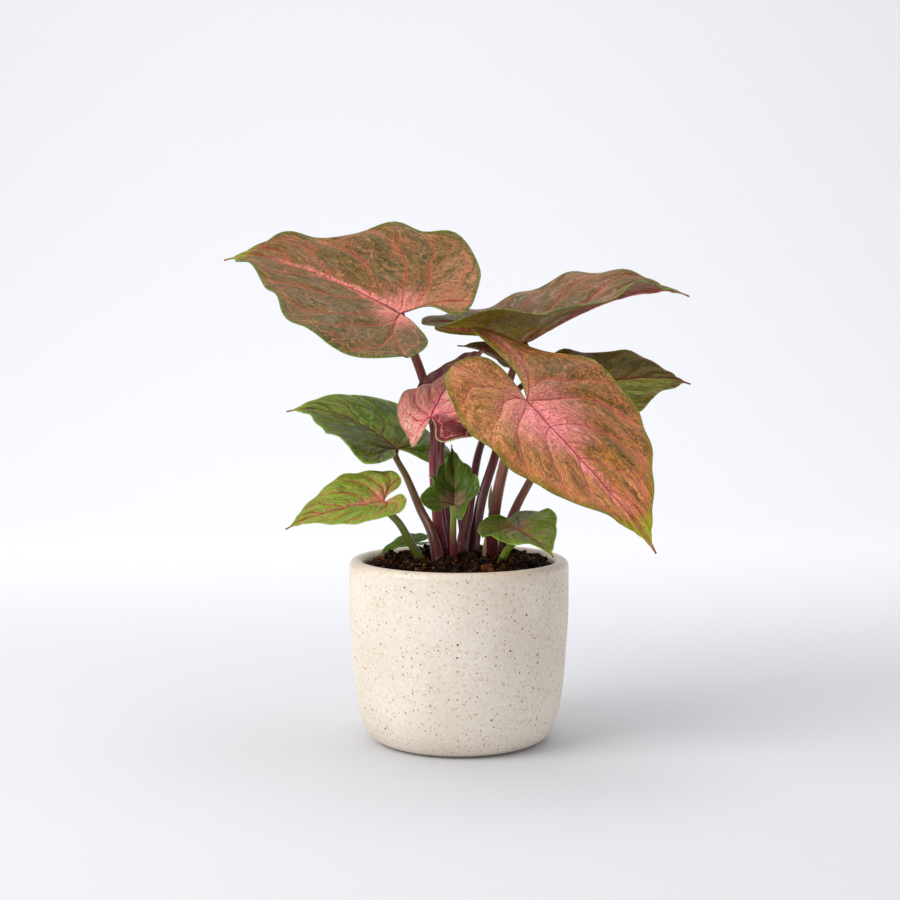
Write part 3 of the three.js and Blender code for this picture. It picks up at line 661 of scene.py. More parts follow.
def make_blade(name, number):
    leaf = LEAVES[name]
    front, back = leaf["veins"]
    rows, columns = (12, 64) if leaf["length"] > 75 else (8 if front > 4 else 10, 44)
    lobe_columns = columns * 3 // 4 // 2 * 2
    piece = joined([blade_part(leaf, number, "front", columns, rows * front),
                    blade_part(leaf, number, "right", lobe_columns, rows * back),
                    blade_part(leaf, number, "left", lobe_columns, rows * back)], f"leaf_{name}")
    thick = shape_blade(piece.data, leaf["length"] / LARGE)
    group = piece.vertex_groups.new(name="thickness")
    levels = np.ceil(np.clip(thick / thick.max(), 0.03, 1) * LEVELS)
    for level in range(1, LEVELS + 1):
        group.add([int(i) for i in np.nonzero(levels == level)[0]], level / LEVELS, "REPLACE")
    solid = piece.modifiers.new("thickness", "SOLIDIFY")
    solid.thickness = thick.max() * MM
    solid.offset = -1
    solid.vertex_group = group.name
    solid.material_offset = 1
    bpy.ops.object.modifier_apply(modifier=solid.name)
    piece.vertex_groups.clear()
    bpy.ops.object.shade_smooth_by_angle(angle=math.radians(50))
    print(piece.name, f"is up to {thick.max():.1f} mm thick")
    return piece


blades = {name: make_blade(name, number) for number, name in enumerate(LEAVES)}

# %% [markdown]
# ## The soil's height
# The stalks stand in the soil, so its height has to be known first. It is a formula: a low mound
# that falls to the pot's wall, with clods made of a few crossing waves. A simulation of loose
# grains would look no better, and would have to run again every time.

# %% The packed soil
GAP = 0.3  # between one solid and the next
SOIL_RADIUS, SOIL_EDGE, SOIL_MOUND, CRUMB = 51.4, 93, 5.5, 0.9
STALK_DEPTH = 16  # how deep a stalk stands in the soil


def soil_height(x, y):
    share = np.minimum(1, np.hypot(x, y) / SOIL_RADIUS)
    clods = (np.sin(0.61 * x + 0.23 * y + 1.3) * np.sin(0.29 * x - 0.57 * y)
             + 0.8 * np.sin(1.07 * x - 0.41 * y + 2.1) * np.sin(0.37 * x + 0.93 * y + 0.6))
    return SOIL_EDGE + SOIL_MOUND * (1 - share ** 2.4) + CRUMB * clods * (1 - share ** 8)


print("soil in the middle:", round(float(soil_height(0, 0)), 1), "mm high")

# %% [markdown]
# ## Stalks
# A leaf stalk leaves the soil, leans out in gentle bends and stops square to its blade. Its route
# is a smooth curve through a few points. Ordinary curves swing out where the points are unevenly
# spaced, so each stretch is weighed by the root of its length, which takes the bends gently.

# %% Routes
SMOOTHING = 20  # steps between two points of a route


def smooth_route(points, count):
    """Evenly spaced points on the smooth curve through `points`."""
    points = [Vector(point) for point in points]
    points = [2 * points[0] - points[1], *points, 2 * points[-1] - points[-2]]
    dense = []
    for p0, p1, p2, p3 in zip(points, points[1:], points[2:], points[3:]):
        d0, d1, d2 = ((b - a).length ** 0.5 for a, b in ((p0, p1), (p1, p2), (p2, p3)))
        t1 = ((p1 - p0) / d0 - (p2 - p0) / (d0 + d1) + (p2 - p1) / d1) * d1
        t2 = ((p2 - p1) / d1 - (p3 - p1) / (d1 + d2) + (p3 - p2) / d2) * d1
        for step in range(SMOOTHING):
            t = step / SMOOTHING
            dense.append(p1 + t1 * t + (3 * (p2 - p1) - 2 * t1 - t2) * t ** 2
                         + (2 * (p1 - p2) + t1 + t2) * t ** 3)
    dense = np.array([*dense, points[-2]])
    travelled = np.concatenate([[0], np.cumsum(np.linalg.norm(np.diff(dense, axis=0), axis=1))])
    even = np.linspace(0, travelled[-1], count)
    return np.stack([np.interp(even, travelled, dense[:, i]) for i in range(3)], -1)


def route_length(route):
    return np.linalg.norm(np.diff(route, axis=0), axis=1).sum()


def rooted(foot, first):
    """A point deep in the soil, and the one above it where the stalk leaves the soil."""
    top = Vector((*foot, float(soil_height(*foot))))
    down = (top - Vector(first)).normalized().lerp(Vector((0, 0, -1)), 0.5).normalized()
    return [top + STALK_DEPTH * down, top]


def stalk_route(leaf, count):
    """From the soil to just under the blade, which the stalk meets square."""
    under = -Vector(blade_place(leaf)[:3, 2])
    joint = Vector(leaf["at"]) + under * (BLADE / 2 + GAP + 0.1 * leaf["stalk"][0])
    neck = joint + under * 2.2 * leaf["stalk"][0]
    return smooth_route([*rooted(leaf["foot"], leaf["way"][0]), *leaf["way"], neck, joint], count)


print("longest stalk:", round(route_length(stalk_route(LEAVES["upper_left"], 50))), "mm")

# %% [markdown]
# ### Tubes
# A curve with a round profile could make a stalk, but only with the same section everywhere. A
# grid rolled to a tube can have any radius, told for each height and each direction round it.
# Its first and last rows shrink to a point, which closes the ends. Round the route, the tube's
# own "side" is carried from step to step, so that it never twists. The mesh keeps a place round
# and along the tube in millimetres for streaks that follow every bend.

# %% A tube along a route
GRAIN_RADIUS = 3  # the streaks are laid on a tube of this radius, however thin the stalk is


def sides_along(route):
    """Two directions square to the route at each of its points."""
    ahead = np.gradient(route, axis=0)
    ahead /= np.linalg.norm(ahead, axis=1)[:, None]
    side = np.empty_like(route)
    side[0] = np.cross(ahead[0], (0, 1, 0))
    for i in range(1, len(route)):
        side[i] = side[i - 1] - ahead[i] * (side[i - 1] @ ahead[i])
    side /= np.linalg.norm(side, axis=1)[:, None]
    return side, np.cross(ahead, side)


def make_tube(name, route, radius_at, around, length_note=0):
    """A closed tube along a route; `radius_at` takes the share up and the direction round."""
    rows = len(route) + 2
    piece, turn, up = flat_grid(name, around, rows - 1)
    step = np.clip(np.round(up * (rows - 1)).astype(int) - 1, 0, len(route) - 1)
    side, other = sides_along(route)
    share = step / (len(route) - 1)
    angle = 2 * math.pi * turn
    row = 1 / (rows - 1)
    radius = np.where((up < 0.5 * row) | (up > 1 - 0.5 * row), 0, radius_at(share, angle))
    points = route[step] + radius[:, None] * (
        np.cos(angle)[:, None] * side[step] + np.sin(angle)[:, None] * other[step])
    move_corners(piece.data, points * MM)
    grain = GRAIN_RADIUS * np.stack([np.cos(angle), np.sin(angle)], -1)
    note(piece.data, "grain", np.column_stack([grain, share * route_length(route) + length_note]))
    note(piece.data, "up", share)
    piece = joined([piece], name)
    faced_outwards()
    bpy.ops.object.shade_smooth()
    return piece


print("streaks are laid on a tube", 2 * GRAIN_RADIUS, "mm wide")

# %% [markdown]
# ### Leaf stalks
# A stalk is a tapering rod, swollen a little at the foot and again just under the blade. Its
# lower half is a sheath: it has a groove with a thin lip on either side, which once wrapped the
# next leaf. Fine ribs run along it. Each of these is a small factor on the radius.

# %% Stalks
AROUND, ROUTE_STEPS = 28, 90
STOUT = dict(lower_left=1.4, left=1.15, small_centre=1.25, small_right=1.25)
GROOVE, LIPS, COLLAR, RIBS = 0.16, 0.13, 0.10, 0.018  # shares of the radius


def make_stalk(name, number):
    leaf = LEAVES[name]
    top, foot = leaf["stalk"]
    route = stalk_route(leaf, ROUTE_STEPS)
    long = route_length(route)
    sheath_end = 0.42 + 0.06 * math.sin(2.3 * number)
    facing = 1.7 * number + 0.6

    def radius(up, angle):
        plain = (foot + (top - foot) * up ** 0.7) * STOUT.get(name, 1.1)
        plain = plain * (1 + 0.3 * np.exp(-np.maximum(up * long - STALK_DEPTH, 0) / 22))
        sheath = np.clip((sheath_end - up) / 0.12, 0, 1)
        turn = (angle - facing + math.pi) % (2 * math.pi) - math.pi
        lips = np.exp(-((np.abs(turn) - 0.5) / 0.17) ** 2)
        groove = np.exp(-(turn / 0.34) ** 2)
        collar = COLLAR * np.exp(-((up - 0.955) / 0.03) ** 2)
        ribs = RIBS * np.cos(7 * angle + number)
        return plain * (1 + sheath * (LIPS * lips - GROOVE * groove) + collar + ribs
                        - 0.05 * (1 - sheath) * groove)

    return make_tube(f"stem_{name}", route, radius, AROUND, 37 * number)


stalks = {name: make_stalk(name, number) for number, name in enumerate(LEAVES)}
print(len(stalks), "stalks of", AROUND * (ROUTE_STEPS + 1), "faces each")

# %% [markdown]
# ### The rolled young leaf
# A leaf that hasn't opened is rolled round itself, so its upper part shows the edge of the wrap
# as a line that winds up to the tip. The same tube makes it: the radius grows round the turn and
# drops where the outer edge lies.

# %% Young leaf
spear_route = smooth_route([*rooted(SPEAR["foot"], SPEAR["way"][0]), *SPEAR["way"]], 70)


def spear_radius(up, angle):
    turn = (angle + 5 * up) % (2 * math.pi) / (2 * math.pi)
    wrap = np.where(up > 0.45, 0.12 * (turn - 0.5) + 0.05 * np.sin(math.pi * turn), 0)
    return SPEAR["radius"] * (1.03 - up ** 5) * (1 + wrap)


spear = make_tube("young_leaf", spear_route, spear_radius, 36)
print("young leaf:", round(route_length(spear_route)), "mm long")

# %% [markdown]
# ### Old sheaths
# When a young leaf opens, the thin sheath that held it is left as a strip by the stalks. One is
# still green and stands against the front stalk, and an older one has dried and curls low down.
# Each is the same tube again, pressed flat and drawn out to a point at both ends.

# %% Sheath strips
STRIPS = {
    "sheath_green": ((17.6, -19.5, 122), (16.7, -20.6, 130), (16.7, -22, 136), (17.3, -23, 142)),
    "sheath_dry": ((13.5, -18, 96), (13.7, -18.4, 104), (14.0, -18, 110), (14.4, -17.4, 115))}


def strip_radius(up, angle):
    return 1.1 * np.sin(math.pi * np.clip(up, 0.02, 0.98)) ** 0.7 * (0.2 + 0.8 * np.cos(angle) ** 2)


strips = {name: make_tube(name, smooth_route(way, 24), strip_radius, 16)
          for name, way in STRIPS.items()}
print(len(strips), "sheath strips")

# %% [markdown]
# ## The pot
# A small stoneware pot, thrown on a wheel: a flat foot, a belly that is widest high up and a
# half-round lip. It is made as the potter makes it: a profile is drawn point by point with
# Extrude and spun round the axis. The profile runs from the middle of the slightly hollow base
# over the foot ring, up the outside, over the lip and down the inside to the floor.

# %% The pot's profile
POT_HEIGHT, POT_RADIUS, FOOT_RADIUS, FLOOR, LIP = 100, 60, 42, 8, 4
INSIDE_BEND = 14  # how high the rounding between floor and wall reaches


def inside_radius(height):
    """The pot's inside, which follows the wall and rounds into the floor."""
    rise = min(max((height - FLOOR) / INSIDE_BEND, 0), 1)
    outside = POT_RADIUS - 5 + 5 * min(max(height / POT_HEIGHT, 0), 1)
    return outside - 2 * LIP - INSIDE_BEND * (1 - math.sqrt(1 - (1 - rise) ** 2))


belly = along_spline(((FOOT_RADIUS, 0), (49.5, 4), (55, 16), (58, 40), (60, 72), (60, 96)),
                     np.linspace(0, 1, 45))
lip = [(56 + LIP * math.cos(t), 96 + LIP * math.sin(t)) for t in np.linspace(0, math.pi, 25)[1:]]
profile = [(0, 0.9), (38.6, 0.9), (39.6, 0.15), (40.4, 0), *map(tuple, belly), *lip,
           *[(inside_radius(h), h) for h in (90, 80, 60, 40, 22, 18, 14, 11, 9, 8)], (0, FLOOR)]
print(len(profile), "points of profile, widest", max(r for r, z in profile), "mm from the axis")

# %% [markdown]
# ### Throwing it
# The first corner is a tiny plane merged to one point. It is extruded along the profile and then
# spun with 128 steps, and the doubles at the seam and the axis are merged. A wheel's work is
# never quite true, so the wall gets a waver of 0.2 mm, enough to break up a straight highlight.
# The mesh keeps how far along the profile each corner is, so that the glaze's dots stay round
# where the wall turns.

# %% Pot
pot = fresh("glazed_pot", bpy.ops.mesh.primitive_plane_add, size=1 * MM)
bpy.ops.object.mode_set(mode="EDIT")
bpy.ops.mesh.select_all(action="SELECT")
bpy.ops.mesh.merge(type="CENTER")
bpy.ops.transform.translate(value=(0, 0, profile[0][1] * MM))
for (r0, z0), (r1, z1) in zip(profile, profile[1:]):
    bpy.ops.mesh.extrude_region_move(
        TRANSFORM_OT_translate={"value": ((r1 - r0) * MM, 0, (z1 - z0) * MM)})
bpy.ops.mesh.select_all(action="SELECT")
bpy.ops.mesh.spin(steps=128, angle=2 * math.pi, center=(0, 0, 0), axis=(0, 0, 1))
bpy.ops.mesh.select_all(action="SELECT")
bpy.ops.mesh.remove_doubles(threshold=0.01 * MM)
bpy.ops.mesh.normals_make_consistent(inside=False)
bpy.ops.object.mode_set(mode="OBJECT")

places = corners(pot.data) / MM
direction, height = np.arctan2(places[:, 1], places[:, 0]), places[:, 2]
along = [0, *np.cumsum([math.dist(a, b) for a, b in zip(profile, profile[1:])])]
nearest = [min(range(len(profile)), key=lambda i: math.dist(profile[i], (r, z)))
           for r, z in zip(np.hypot(places[:, 0], places[:, 1]), height)]
note(pot.data, "profile", [along[i] for i in nearest])
waver = (0.10 * np.sin(2 * direction + 0.02 * height) + 0.07 * np.sin(0.21 * height)
         + 0.05 * np.sin(5 * direction + 0.05 * height))
waver *= np.clip(height / 10, 0, 1)
places[:, :2] *= 1 - (0.2 - waver[:, None]) / POT_RADIUS
move_corners(pot.data, places * MM)
bpy.ops.object.shade_smooth_by_angle(angle=math.radians(40))
print("the wall wavers by", round(float(np.ptp(waver)), 2), "mm")

# %% [markdown]
# ## Soil
# Potting mix is dark, loose and crumbly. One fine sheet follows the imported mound, with lumps of
# 3 to 9 mm and rougher grain on them, and closes down inside the pot. The grid's rows become
# rings and its columns spokes.

# %% Soil sheet
RINGS, SPOKES = 84, 220
WALL = np.array([SOIL_EDGE, 80, 50, FLOOR + 14, FLOOR + 4, FLOOR + 1, FLOOR + 1])  # heights
LOOSE = 2.8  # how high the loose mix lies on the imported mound


def loose_height(x, y):
    share = np.minimum(1, np.hypot(x, y) / SOIL_RADIUS)
    lumps = (np.sin(0.73 * x + 2 * np.sin(0.31 * y)) * np.sin(0.67 * y - 1.7 * np.sin(0.27 * x))
             + 0.6 * np.sin(1.63 * x - 0.9 * y + 1) * np.sin(1.41 * y + 0.7 * x))
    return soil_height(x, y) + LOOSE + 1.5 * np.clip((1 - share) / 0.1, 0.3, 1) * lumps


wall_rows = len(WALL) - 1
ground, turn, out = flat_grid("potting_soil", SPOKES, RINGS + wall_rows)
ring = np.round(out * (RINGS + wall_rows))
below = np.clip(ring - RINGS, 0, wall_rows).astype(int)
radius = np.where(ring <= RINGS, SOIL_RADIUS * ring / RINGS,
                  [inside_radius(h) - GAP for h in WALL[below]])
radius = np.where(ring == RINGS + wall_rows, 0, radius)
x, y = radius * np.cos(2 * math.pi * turn), radius * np.sin(2 * math.pi * turn)
rough = (0.5 * np.sin(1.9 * x + 1.1 * y + 3 * np.sin(0.31 * y)) * np.sin(1.3 * y - 1.7 * x + 1)
         + 0.35 * np.sin(3.1 * x - 2.3 * y + 2 * np.sin(0.7 * x)) * np.sin(2.9 * y + 1.9 * x)
         + 0.25 * np.sin(5.3 * x + 1.9 * y) * np.sin(4.7 * y - 3.1 * x + 2))
level = loose_height(x, y) + rough * np.clip((SOIL_RADIUS - radius) / 4, 0, 1) - 0.2
z = np.where(ring <= RINGS, level, WALL[below] + GAP)
move_corners(ground.data, np.column_stack([x, y, z]) * MM)
ground = joined([ground], "potting_soil", 0.01 * MM)
faced_outwards()
bpy.ops.object.shade_smooth_by_angle(angle=math.radians(50))
print("soil from", round(z.min(), 1), "to", round(z.max(), 1), "mm")

# %% [markdown]
# ### Loose bits
# On the soil lie crumbs and clods of peat, splinters of bark and a few small tan grains of
# perlite. Each kind is modelled once, as a small ball with its faces pushed in and out, and then
# copied, a copy having its own size, turn and place from a seeded list. Particles could scatter
# them too, but a short loop shows every choice. A thousand copies need few faces each.

# %% Loose bits
chance = np.random.default_rng(8)


def make_bits(name, fineness, count, sizes, stretch, sink):
    lump = fresh(name, bpy.ops.mesh.primitive_ico_sphere_add, subdivisions=fineness, radius=1)
    form = corners(lump.data)
    form *= (1 + 0.28 * np.sin(3.1 * form[:, 0] + 2) * np.sin(2.7 * form[:, 1] + 1)
             + 0.22 * np.sin(4.3 * form[:, 2] + 5 * form[:, 0]))[:, None]
    faces = np.array([face.vertices[:] for face in lump.data.polygons])
    every, grown = [], []
    for i in range(count):
        size = chance.uniform(*sizes) * chance.uniform(0.6, 1)
        away = SOIL_RADIUS * math.sqrt(chance.uniform(0, 0.94))
        angle = chance.uniform(0, 2 * math.pi)
        px, py = away * math.cos(angle), away * math.sin(angle)
        turn = np.array(Matrix.Rotation(chance.uniform(0, 6.28), 3, "Z")
                        @ Matrix.Rotation(chance.normal(0, 0.35), 3, "X"))
        lift = float(loose_height(px, py)) + size * sink
        every.append((form * stretch * size) @ turn.T + (px, py, lift))
        grown.append(faces + i * len(form))
    bits = bpy.data.meshes.new(name)
    bits.from_pydata((np.concatenate(every) * MM).tolist(), [], np.concatenate(grown).tolist())
    old, lump.data = lump.data, bits
    bpy.data.meshes.remove(old)
    lump.name = bits.name = name
    bpy.ops.object.shade_smooth_by_angle(angle=math.radians(55))
    print(count, name, "of", len(faces), "faces, up to", 2 * sizes[1], "mm across")
    return lump


crumbs = make_bits("soil_crumbs", 1, 700, (0.6, 1.6), (1, 0.8, 0.7), 0.2)
clods = make_bits("soil_clods", 2, 240, (1.8, 5.0), (1, 0.7, 0.6), 0.25)
bark = make_bits("bark_bits", 2, 54, (1.4, 3.8), (1.5, 0.6, 0.3), 0.25)
perlite = make_bits("perlite_grains", 1, 70, (0.45, 0.9), (1, 0.9, 0.8), 0.4)

# %% [markdown]
# ## Leaf skin
# The upper side of a living leaf: a waxy, slightly glossy skin over coloured tissue. Wax gives a
# broad, pale shine (index of refraction about 1.45, roughness about 0.4). The colours lie in
# layers, from a mottled ground to a pink glow, the veins and a green margin. A picture of a leaf
# could be projected on it, but it would smear from other sides. Here each layer is told by
# distances that the mesh keeps: to the midrib, to the next side vein, to the margin, and by the
# place on the flat blade, all in millimetres.
#
# What a leaf looks like is a list of card colours and amounts. Colours are those of the layers:
# `ground` with its `second` tone, `patch`, `stroke`, `painted_sheen` (a painted highlight: pale
# patches of colour where the wax would mirror the room), `glow`, `halo`, `vein` (side veins),
# `main` and `main_tip` (the midrib from the stalk to the tip), `net` (the smallest veins), `rim`
# (the margin), `edge` (its outermost line), `tip` and `tip_end`, and `under` and `under_base` for
# the back. Amounts go from 0 to 1, with `patches` for the right and left half, and sizes and
# widths are millimetres. `glow_line` is how far along the leaf the glow follows the midrib and how
# wide, `glow_at` and `lean` move it, and `tip_from` is where the tip's colour starts. A `tint` is
# one half's own colour: amount, and the places along the leaf where it starts and is full.
# `tint_over` is how much of it covers the glow.

# %% Looks that most leaves share
NO_TINT = ("#000000", 0, 0, -7)
# The sheen colour and its amount are a painted highlight: pale patches laid in the colour where the
# wax would shine.
LOOK = dict(
    patches=(0.7, 0.7), stroke="#a8704c", strokes=0.4, glow="#e07c74", glow_size=12,
    glow_line=(0.6, 4.5), glow_at=(0, 0), lean=0, halo="#b06a4e", halo_width=1.6, haloes=0.45,
    vein="#a9564c", vein_width=0.42, main="#6a2a30", main_tip="#c86a58", main_width=0.8,
    net="#b07050", nets=0.4, rim="#66602a", rim_width=4.0, edge="#7d8c38", edge_width=0.6,
    tip="#8a8c30", tip_end="#9a5020", tip_from=0.8, painted_sheen="#86746a", painted_sheen_amount=0.4,
    right_tint=NO_TINT, left_tint=NO_TINT, tint_over=0, under="#7c7238", under_base="#7a4a38",
    rough=0.42)
LOOKS = {}
print("a look may leave out", len(LOOK), "values")

# %% [markdown]
# ### Looks of the large leaves
# Old leaves are bronze: red tissue shows through green. The one on the upper left has coral veins
# in a pink heart, the one on the upper right turns lime on its right half and olive on its back,
# partly its own colour and partly painted light that shines through the blade, the one in front is
# the most orange with the largest pink glow, and the one on the right is a dull green bronze.

# %% Large leaves' colours
LOOKS.update(
    upper_left=dict(
        ground="#6a5220", second="#80502a", patch="#3c3e0e", patches=(0.75, 0.8),
        stroke="#c08a5c", strokes=0.6, glow="#ee8c82", glow_size=23, glow_line=(0.6, 3.0),
        halo="#a85c38", haloes=0.3, vein="#a84a3c", net="#a86c40", rim="#4c5414",
        edge="#64761e", edge_width=0.5, tip="#7c8a20", tip_end="#c05c1a", painted_sheen="#826c54",
        painted_sheen_amount=0.45, right_tint=("#b47c5a", 0.5, 12, -14),
        left_tint=("#54481c", 0.45, 200, 120)),
    upper_right=dict(
        ground="#74582e", second="#865a3a", patch="#48461a", stroke="#bc8860", strokes=0.5,
        glow="#b05c48", glow_size=16, glow_line=(0.6, 1.6), halo="#9a5844", haloes=0.5,
        # The lime right tint and the olive back are lightened: partly the leaf's own colour, partly
        # painted light shining through the blade. The light tip is partly a painted sheen.
        vein="#a04e40", net="#8c5e42", rim="#54521e", edge="#7a8a30", tip="#988a4c",
        tip_end="#9a6a2a", painted_sheen="#a89484", right_tint=("#907e14", 0.9, 30, 8),
        left_tint=("#464418", 0.8, 2, -8), tint_over=0.55, under="#807c18",
        under_base="#743e18"),
    front_right=dict(
        ground="#a66e2e", second="#b86e42", patch="#544616", patches=(0.62, 0.9),
        stroke="#e09860", glow="#ff949a", glow_size=34, glow_line=(0.8, 4.5),
        glow_at=(4, 15), lean=3, halo="#cc7054", haloes=0.4, vein="#9c4850", vein_width=0.3,
        main="#883a4a", main_tip="#b8585c", main_width=0.6, net="#c8703e", nets=0.5,
        rim="#84681e", rim_width=5, edge="#6c7c22", tip="#9c981a", tip_end="#6f2c12",
        tip_from=0.76, painted_sheen="#b8805c", painted_sheen_amount=0.25, right_tint=("#c48a54", 0.45, 200, 120),
        left_tint=("#6a4a1c", 0.8, 110, -10), under="#8a6a34", under_base="#96583c"),
    right_rear=dict(
        ground="#5a460e", second="#54380c", patch="#382e08", stroke="#7c6a2a",
        glow="#7a3e26", glow_size=13, glow_line=(0.9, 1.6), halo="#5c5420", haloes=0.35,
        vein="#5c5a24", main="#702c1c", main_tip="#84402a", net="#605a24", rim="#6a4a1a",
        rim_width=4.5, edge="#74803a", tip="#7e5e20", tip_end="#84702a", painted_sheen="#84803a",
        right_tint=("#808022", 0.8, 90, 80), under="#4c5c1a"))
print("looks so far:", ", ".join(LOOKS))

# %% [markdown]
# ### Looks of the middle leaves
# A new leaf opens in strong pink and turns green from the margin as it grows. So the pink one is
# peach, with a deep red right half that curls down: partly its own crimson and partly painted
# shade. The maroon one is dark, and the two on the left are already green with red midribs.

# %% Middle leaves' colours
LOOKS.update(
    centre_pink=dict(
        ground="#f2b49c", second="#e88e84", patch="#b06a4c", patches=(0.45, 0.3),
        stroke="#ecaa94", strokes=0.25, glow="#f6848e", glow_line=(1, 2.4), halo="#f49a98",
        halo_width=1.8, haloes=0.6, vein="#c04c58", vein_width=0.24, main="#b02c44",
        main_tip="#b83a4a", main_width=0.55, net="#d8807a", nets=0.15, rim="#a06448",
        rim_width=2.5, edge="#b4aa70", edge_width=0.5, tip="#a83c46", tip_end="#7c2028",
        # The deep red right tint, laid over the glow, is partly the leaf's own crimson and partly
        # painted shade on the half that curls down.
        painted_sheen="#f6c8b8", painted_sheen_amount=0.6, tint_over=1, right_tint=("#5c101a", 0.9, 4, -3),
        left_tint=("#b4584e", 0.35, -6, 8), under="#8c343c", under_base="#7c2030"),
    centre_maroon=dict(
        ground="#7e3a40", second="#8a4c44", patch="#54261e", stroke="#ac6c64",
        glow="#8c3038", glow_line=(1, 1.6), halo="#743a38", vein="#7c3036", main="#7a1c2a",
        main_tip="#84242e", net="#703c38", rim="#58241e", edge="#6c402c", tip="#8c1c2c",
        tip_end="#6a141c", painted_sheen="#8a6464", painted_sheen_amount=0.5, under="#5a282c",
        under_base="#5c1c28"),
    left=dict(
        ground="#587016", second="#68701a", patch="#304408", patches=(0.85, 0.85),
        stroke="#8ca444", strokes=0.5, glow="#683a24", glow_size=13, glow_line=(0.95, 1.5),
        halo="#4e5620", halo_width=1.4, vein="#565220", main="#581e12", main_tip="#6c3420",
        main_width=0.7, net="#5c7a28", rim="#587a20", rim_width=3, edge="#88a440",
        tip="#8a9c34", tip_end="#84401a", painted_sheen="#90a034",
        left_tint=("#4a3a0c", 0.65, 200, 100), under="#58743a", under_base="#6c5a30"),
    lower_left=dict(
        ground="#7a9220", second="#8c9c34", patch="#5c7c12", patches=(0.6, 0.6),
        stroke="#a2a44c", strokes=0.45, glow="#d87c6c", glow_size=14, glow_line=(0.85, 1.9),
        halo="#b47c48", halo_width=1.3, haloes=0.5, vein="#b0543c", vein_width=0.28,
        main="#a4382c", main_tip="#b86a4c", main_width=0.5, net="#a07e3c",
        rim="#6c8a2c", rim_width=2.5, edge="#9cb048", edge_width=0.5, tip="#7a9628",
        tip_end="#9a5a1c", painted_sheen="#a8b488", painted_sheen_amount=0.35, under="#708434",
        under_base="#8a6a40"))
print("looks so far:", len(LOOKS))

# %% [markdown]
# ### Looks of the small leaves
# The small low leaves grew in shade: dark to fresh green, with thin veins and little pink. The
# darkest one is also the glossiest. The rear leaf is bronze again.

# %% Small leaves' colours
LOOKS.update(
    small_centre=dict(
        ground="#42580c", second="#4e6212", patch="#2a3c06", stroke="#6c8030", strokes=0.35,
        glow="#9c6a60", glow_line=(0.5, 1.6), halo="#485022", haloes=0.35, vein="#4a5626",
        vein_width=0.28, main="#60201c", main_tip="#4c3a1c", main_width=0.5, net="#4c6424",
        nets=0.3, rim="#3c5612", rim_width=2, edge="#62842a", edge_width=0.5, tip="#54401c",
        tip_end="#50281a", painted_sheen="#6c7e48", painted_sheen_amount=0.5, under="#506e2e",
        under_base="#728040", rough=0.32),
    small_right=dict(
        ground="#60781a", second="#78842a", patch="#445a0e", stroke="#949648",
        glow="#a8645a", glow_line=(0.9, 1.5), halo="#7a6a40", vein="#7a6440",
        vein_width=0.28, main="#9a3c38", main_tip="#8a6a3c", main_width=0.5, net="#6c7c38",
        nets=0.35, rim="#527a1c", rim_width=2, edge="#84a63c", edge_width=0.5,
        tip="#94ae34", tip_end="#604020", painted_sheen="#94a08a", under="#5c7c30",
        under_base="#7c7c40", rough=0.36),
    low_rear=dict(
        ground="#486410", second="#58761a", patch="#344c0c", stroke="#708636", strokes=0.35,
        glow="#5c4a28", glow_size=5, glow_line=(0.8, 1), halo="#4c6020", haloes=0.25,
        vein="#4e6226", vein_width=0.22, main="#504020", main_tip="#506020", main_width=0.3,
        net="#526826", nets=0.25, rim="#466414", rim_width=1.2, edge="#64802a",
        edge_width=0.4, painted_sheen="#7c8a48", painted_sheen_amount=0.3, under="#4e602a"),
    rear=dict(
        ground="#5a3c20", second="#64422a", patch="#3c3214", strokes=0.55, glow_size=17,
        tip="#74782a", tip_end="#7e8828", painted_sheen_amount=0.3, under="#6c4a2c", under_base="#5c3426"))
LOOKS = {name: {**LOOK, **LOOKS[name]} for name in LEAVES}
print(len(LOOKS), "leaf looks")

# %% [markdown]
# ### Places and noise on a leaf
# A skin starts from the numbers that the mesh keeps, in millimetres: the place on the flat leaf,
# the place along a side vein, the count of veins, and the distances. Nothing on a leaf is even,
# so noise at three sizes comes with them: clouds of 18 mm, flecks of 4 mm and grain of 0.6 mm.
# The grain of a real skin is under 0.1 mm, and is drawn coarser so that it shows. A soft noise
# sways the places, so that no net or stroke runs straight. All of this is handed from layer to
# layer in one bundle, `on`.

# %% Places and noise
NOISES = dict(clouds=(0.055, 3.0), flecks=(0.26, 4.0), grain=(1.7, 2.0))  # cells per mm, detail


def leaf_places(add, length):
    kept = {key: add("Attribute", attribute_name=key)
            for key in ("flat", "streak", "vein", "midrib", "margin")}
    flat, streak, vein = (kept[key].outputs["Vector"] for key in ("flat", "streak", "vein"))
    on = SimpleNamespace(length=length, flat=flat)
    on.midrib, on.margin = (kept[key].outputs["Fac"] for key in ("midrib", "margin"))
    on.across, on.ahead, _ = add("SeparateXYZ", flat).outputs
    on.count, on.out, on.gap = add("SeparateXYZ", vein).outputs
    on.clouds, on.flecks, on.grain = (
        add("TexNoise", flat, {"Scale": scale, "Detail": detail})
        for scale, detail in NOISES.values())
    sway = add("TexNoise", flat, {"Scale": 0.16, "Detail": 3.0}).outputs["Color"]
    sway = add("VectorMath", sway, (0.5, 0.5, 0.5), operation="SUBTRACT")
    on.swayed = add("VectorMath", sway, (9, 9, 0), flat, operation="MULTIPLY_ADD")
    on.lanes = add("VectorMath", sway, (5, 6.5, 0), streak, operation="MULTIPLY_ADD")
    return on


print("noise cells:", {key: f"{1 / scale:.1f} mm" for key, (scale, _) in NOISES.items()})

# %% [markdown]
# ### How far the veins are
# The mesh keeps the number of side veins counted from the tip, with a fraction between two. How
# far that fraction is from a whole number, times the gap between two veins, is the distance to
# the nearest vein. Shifted by a half it gives the weak vein half way, and by a shift that grows
# on the way out it gives a fork. Each fork starts at its own share of the way out. The inner side
# of a lobe has no side veins, so there they are pushed out of reach.

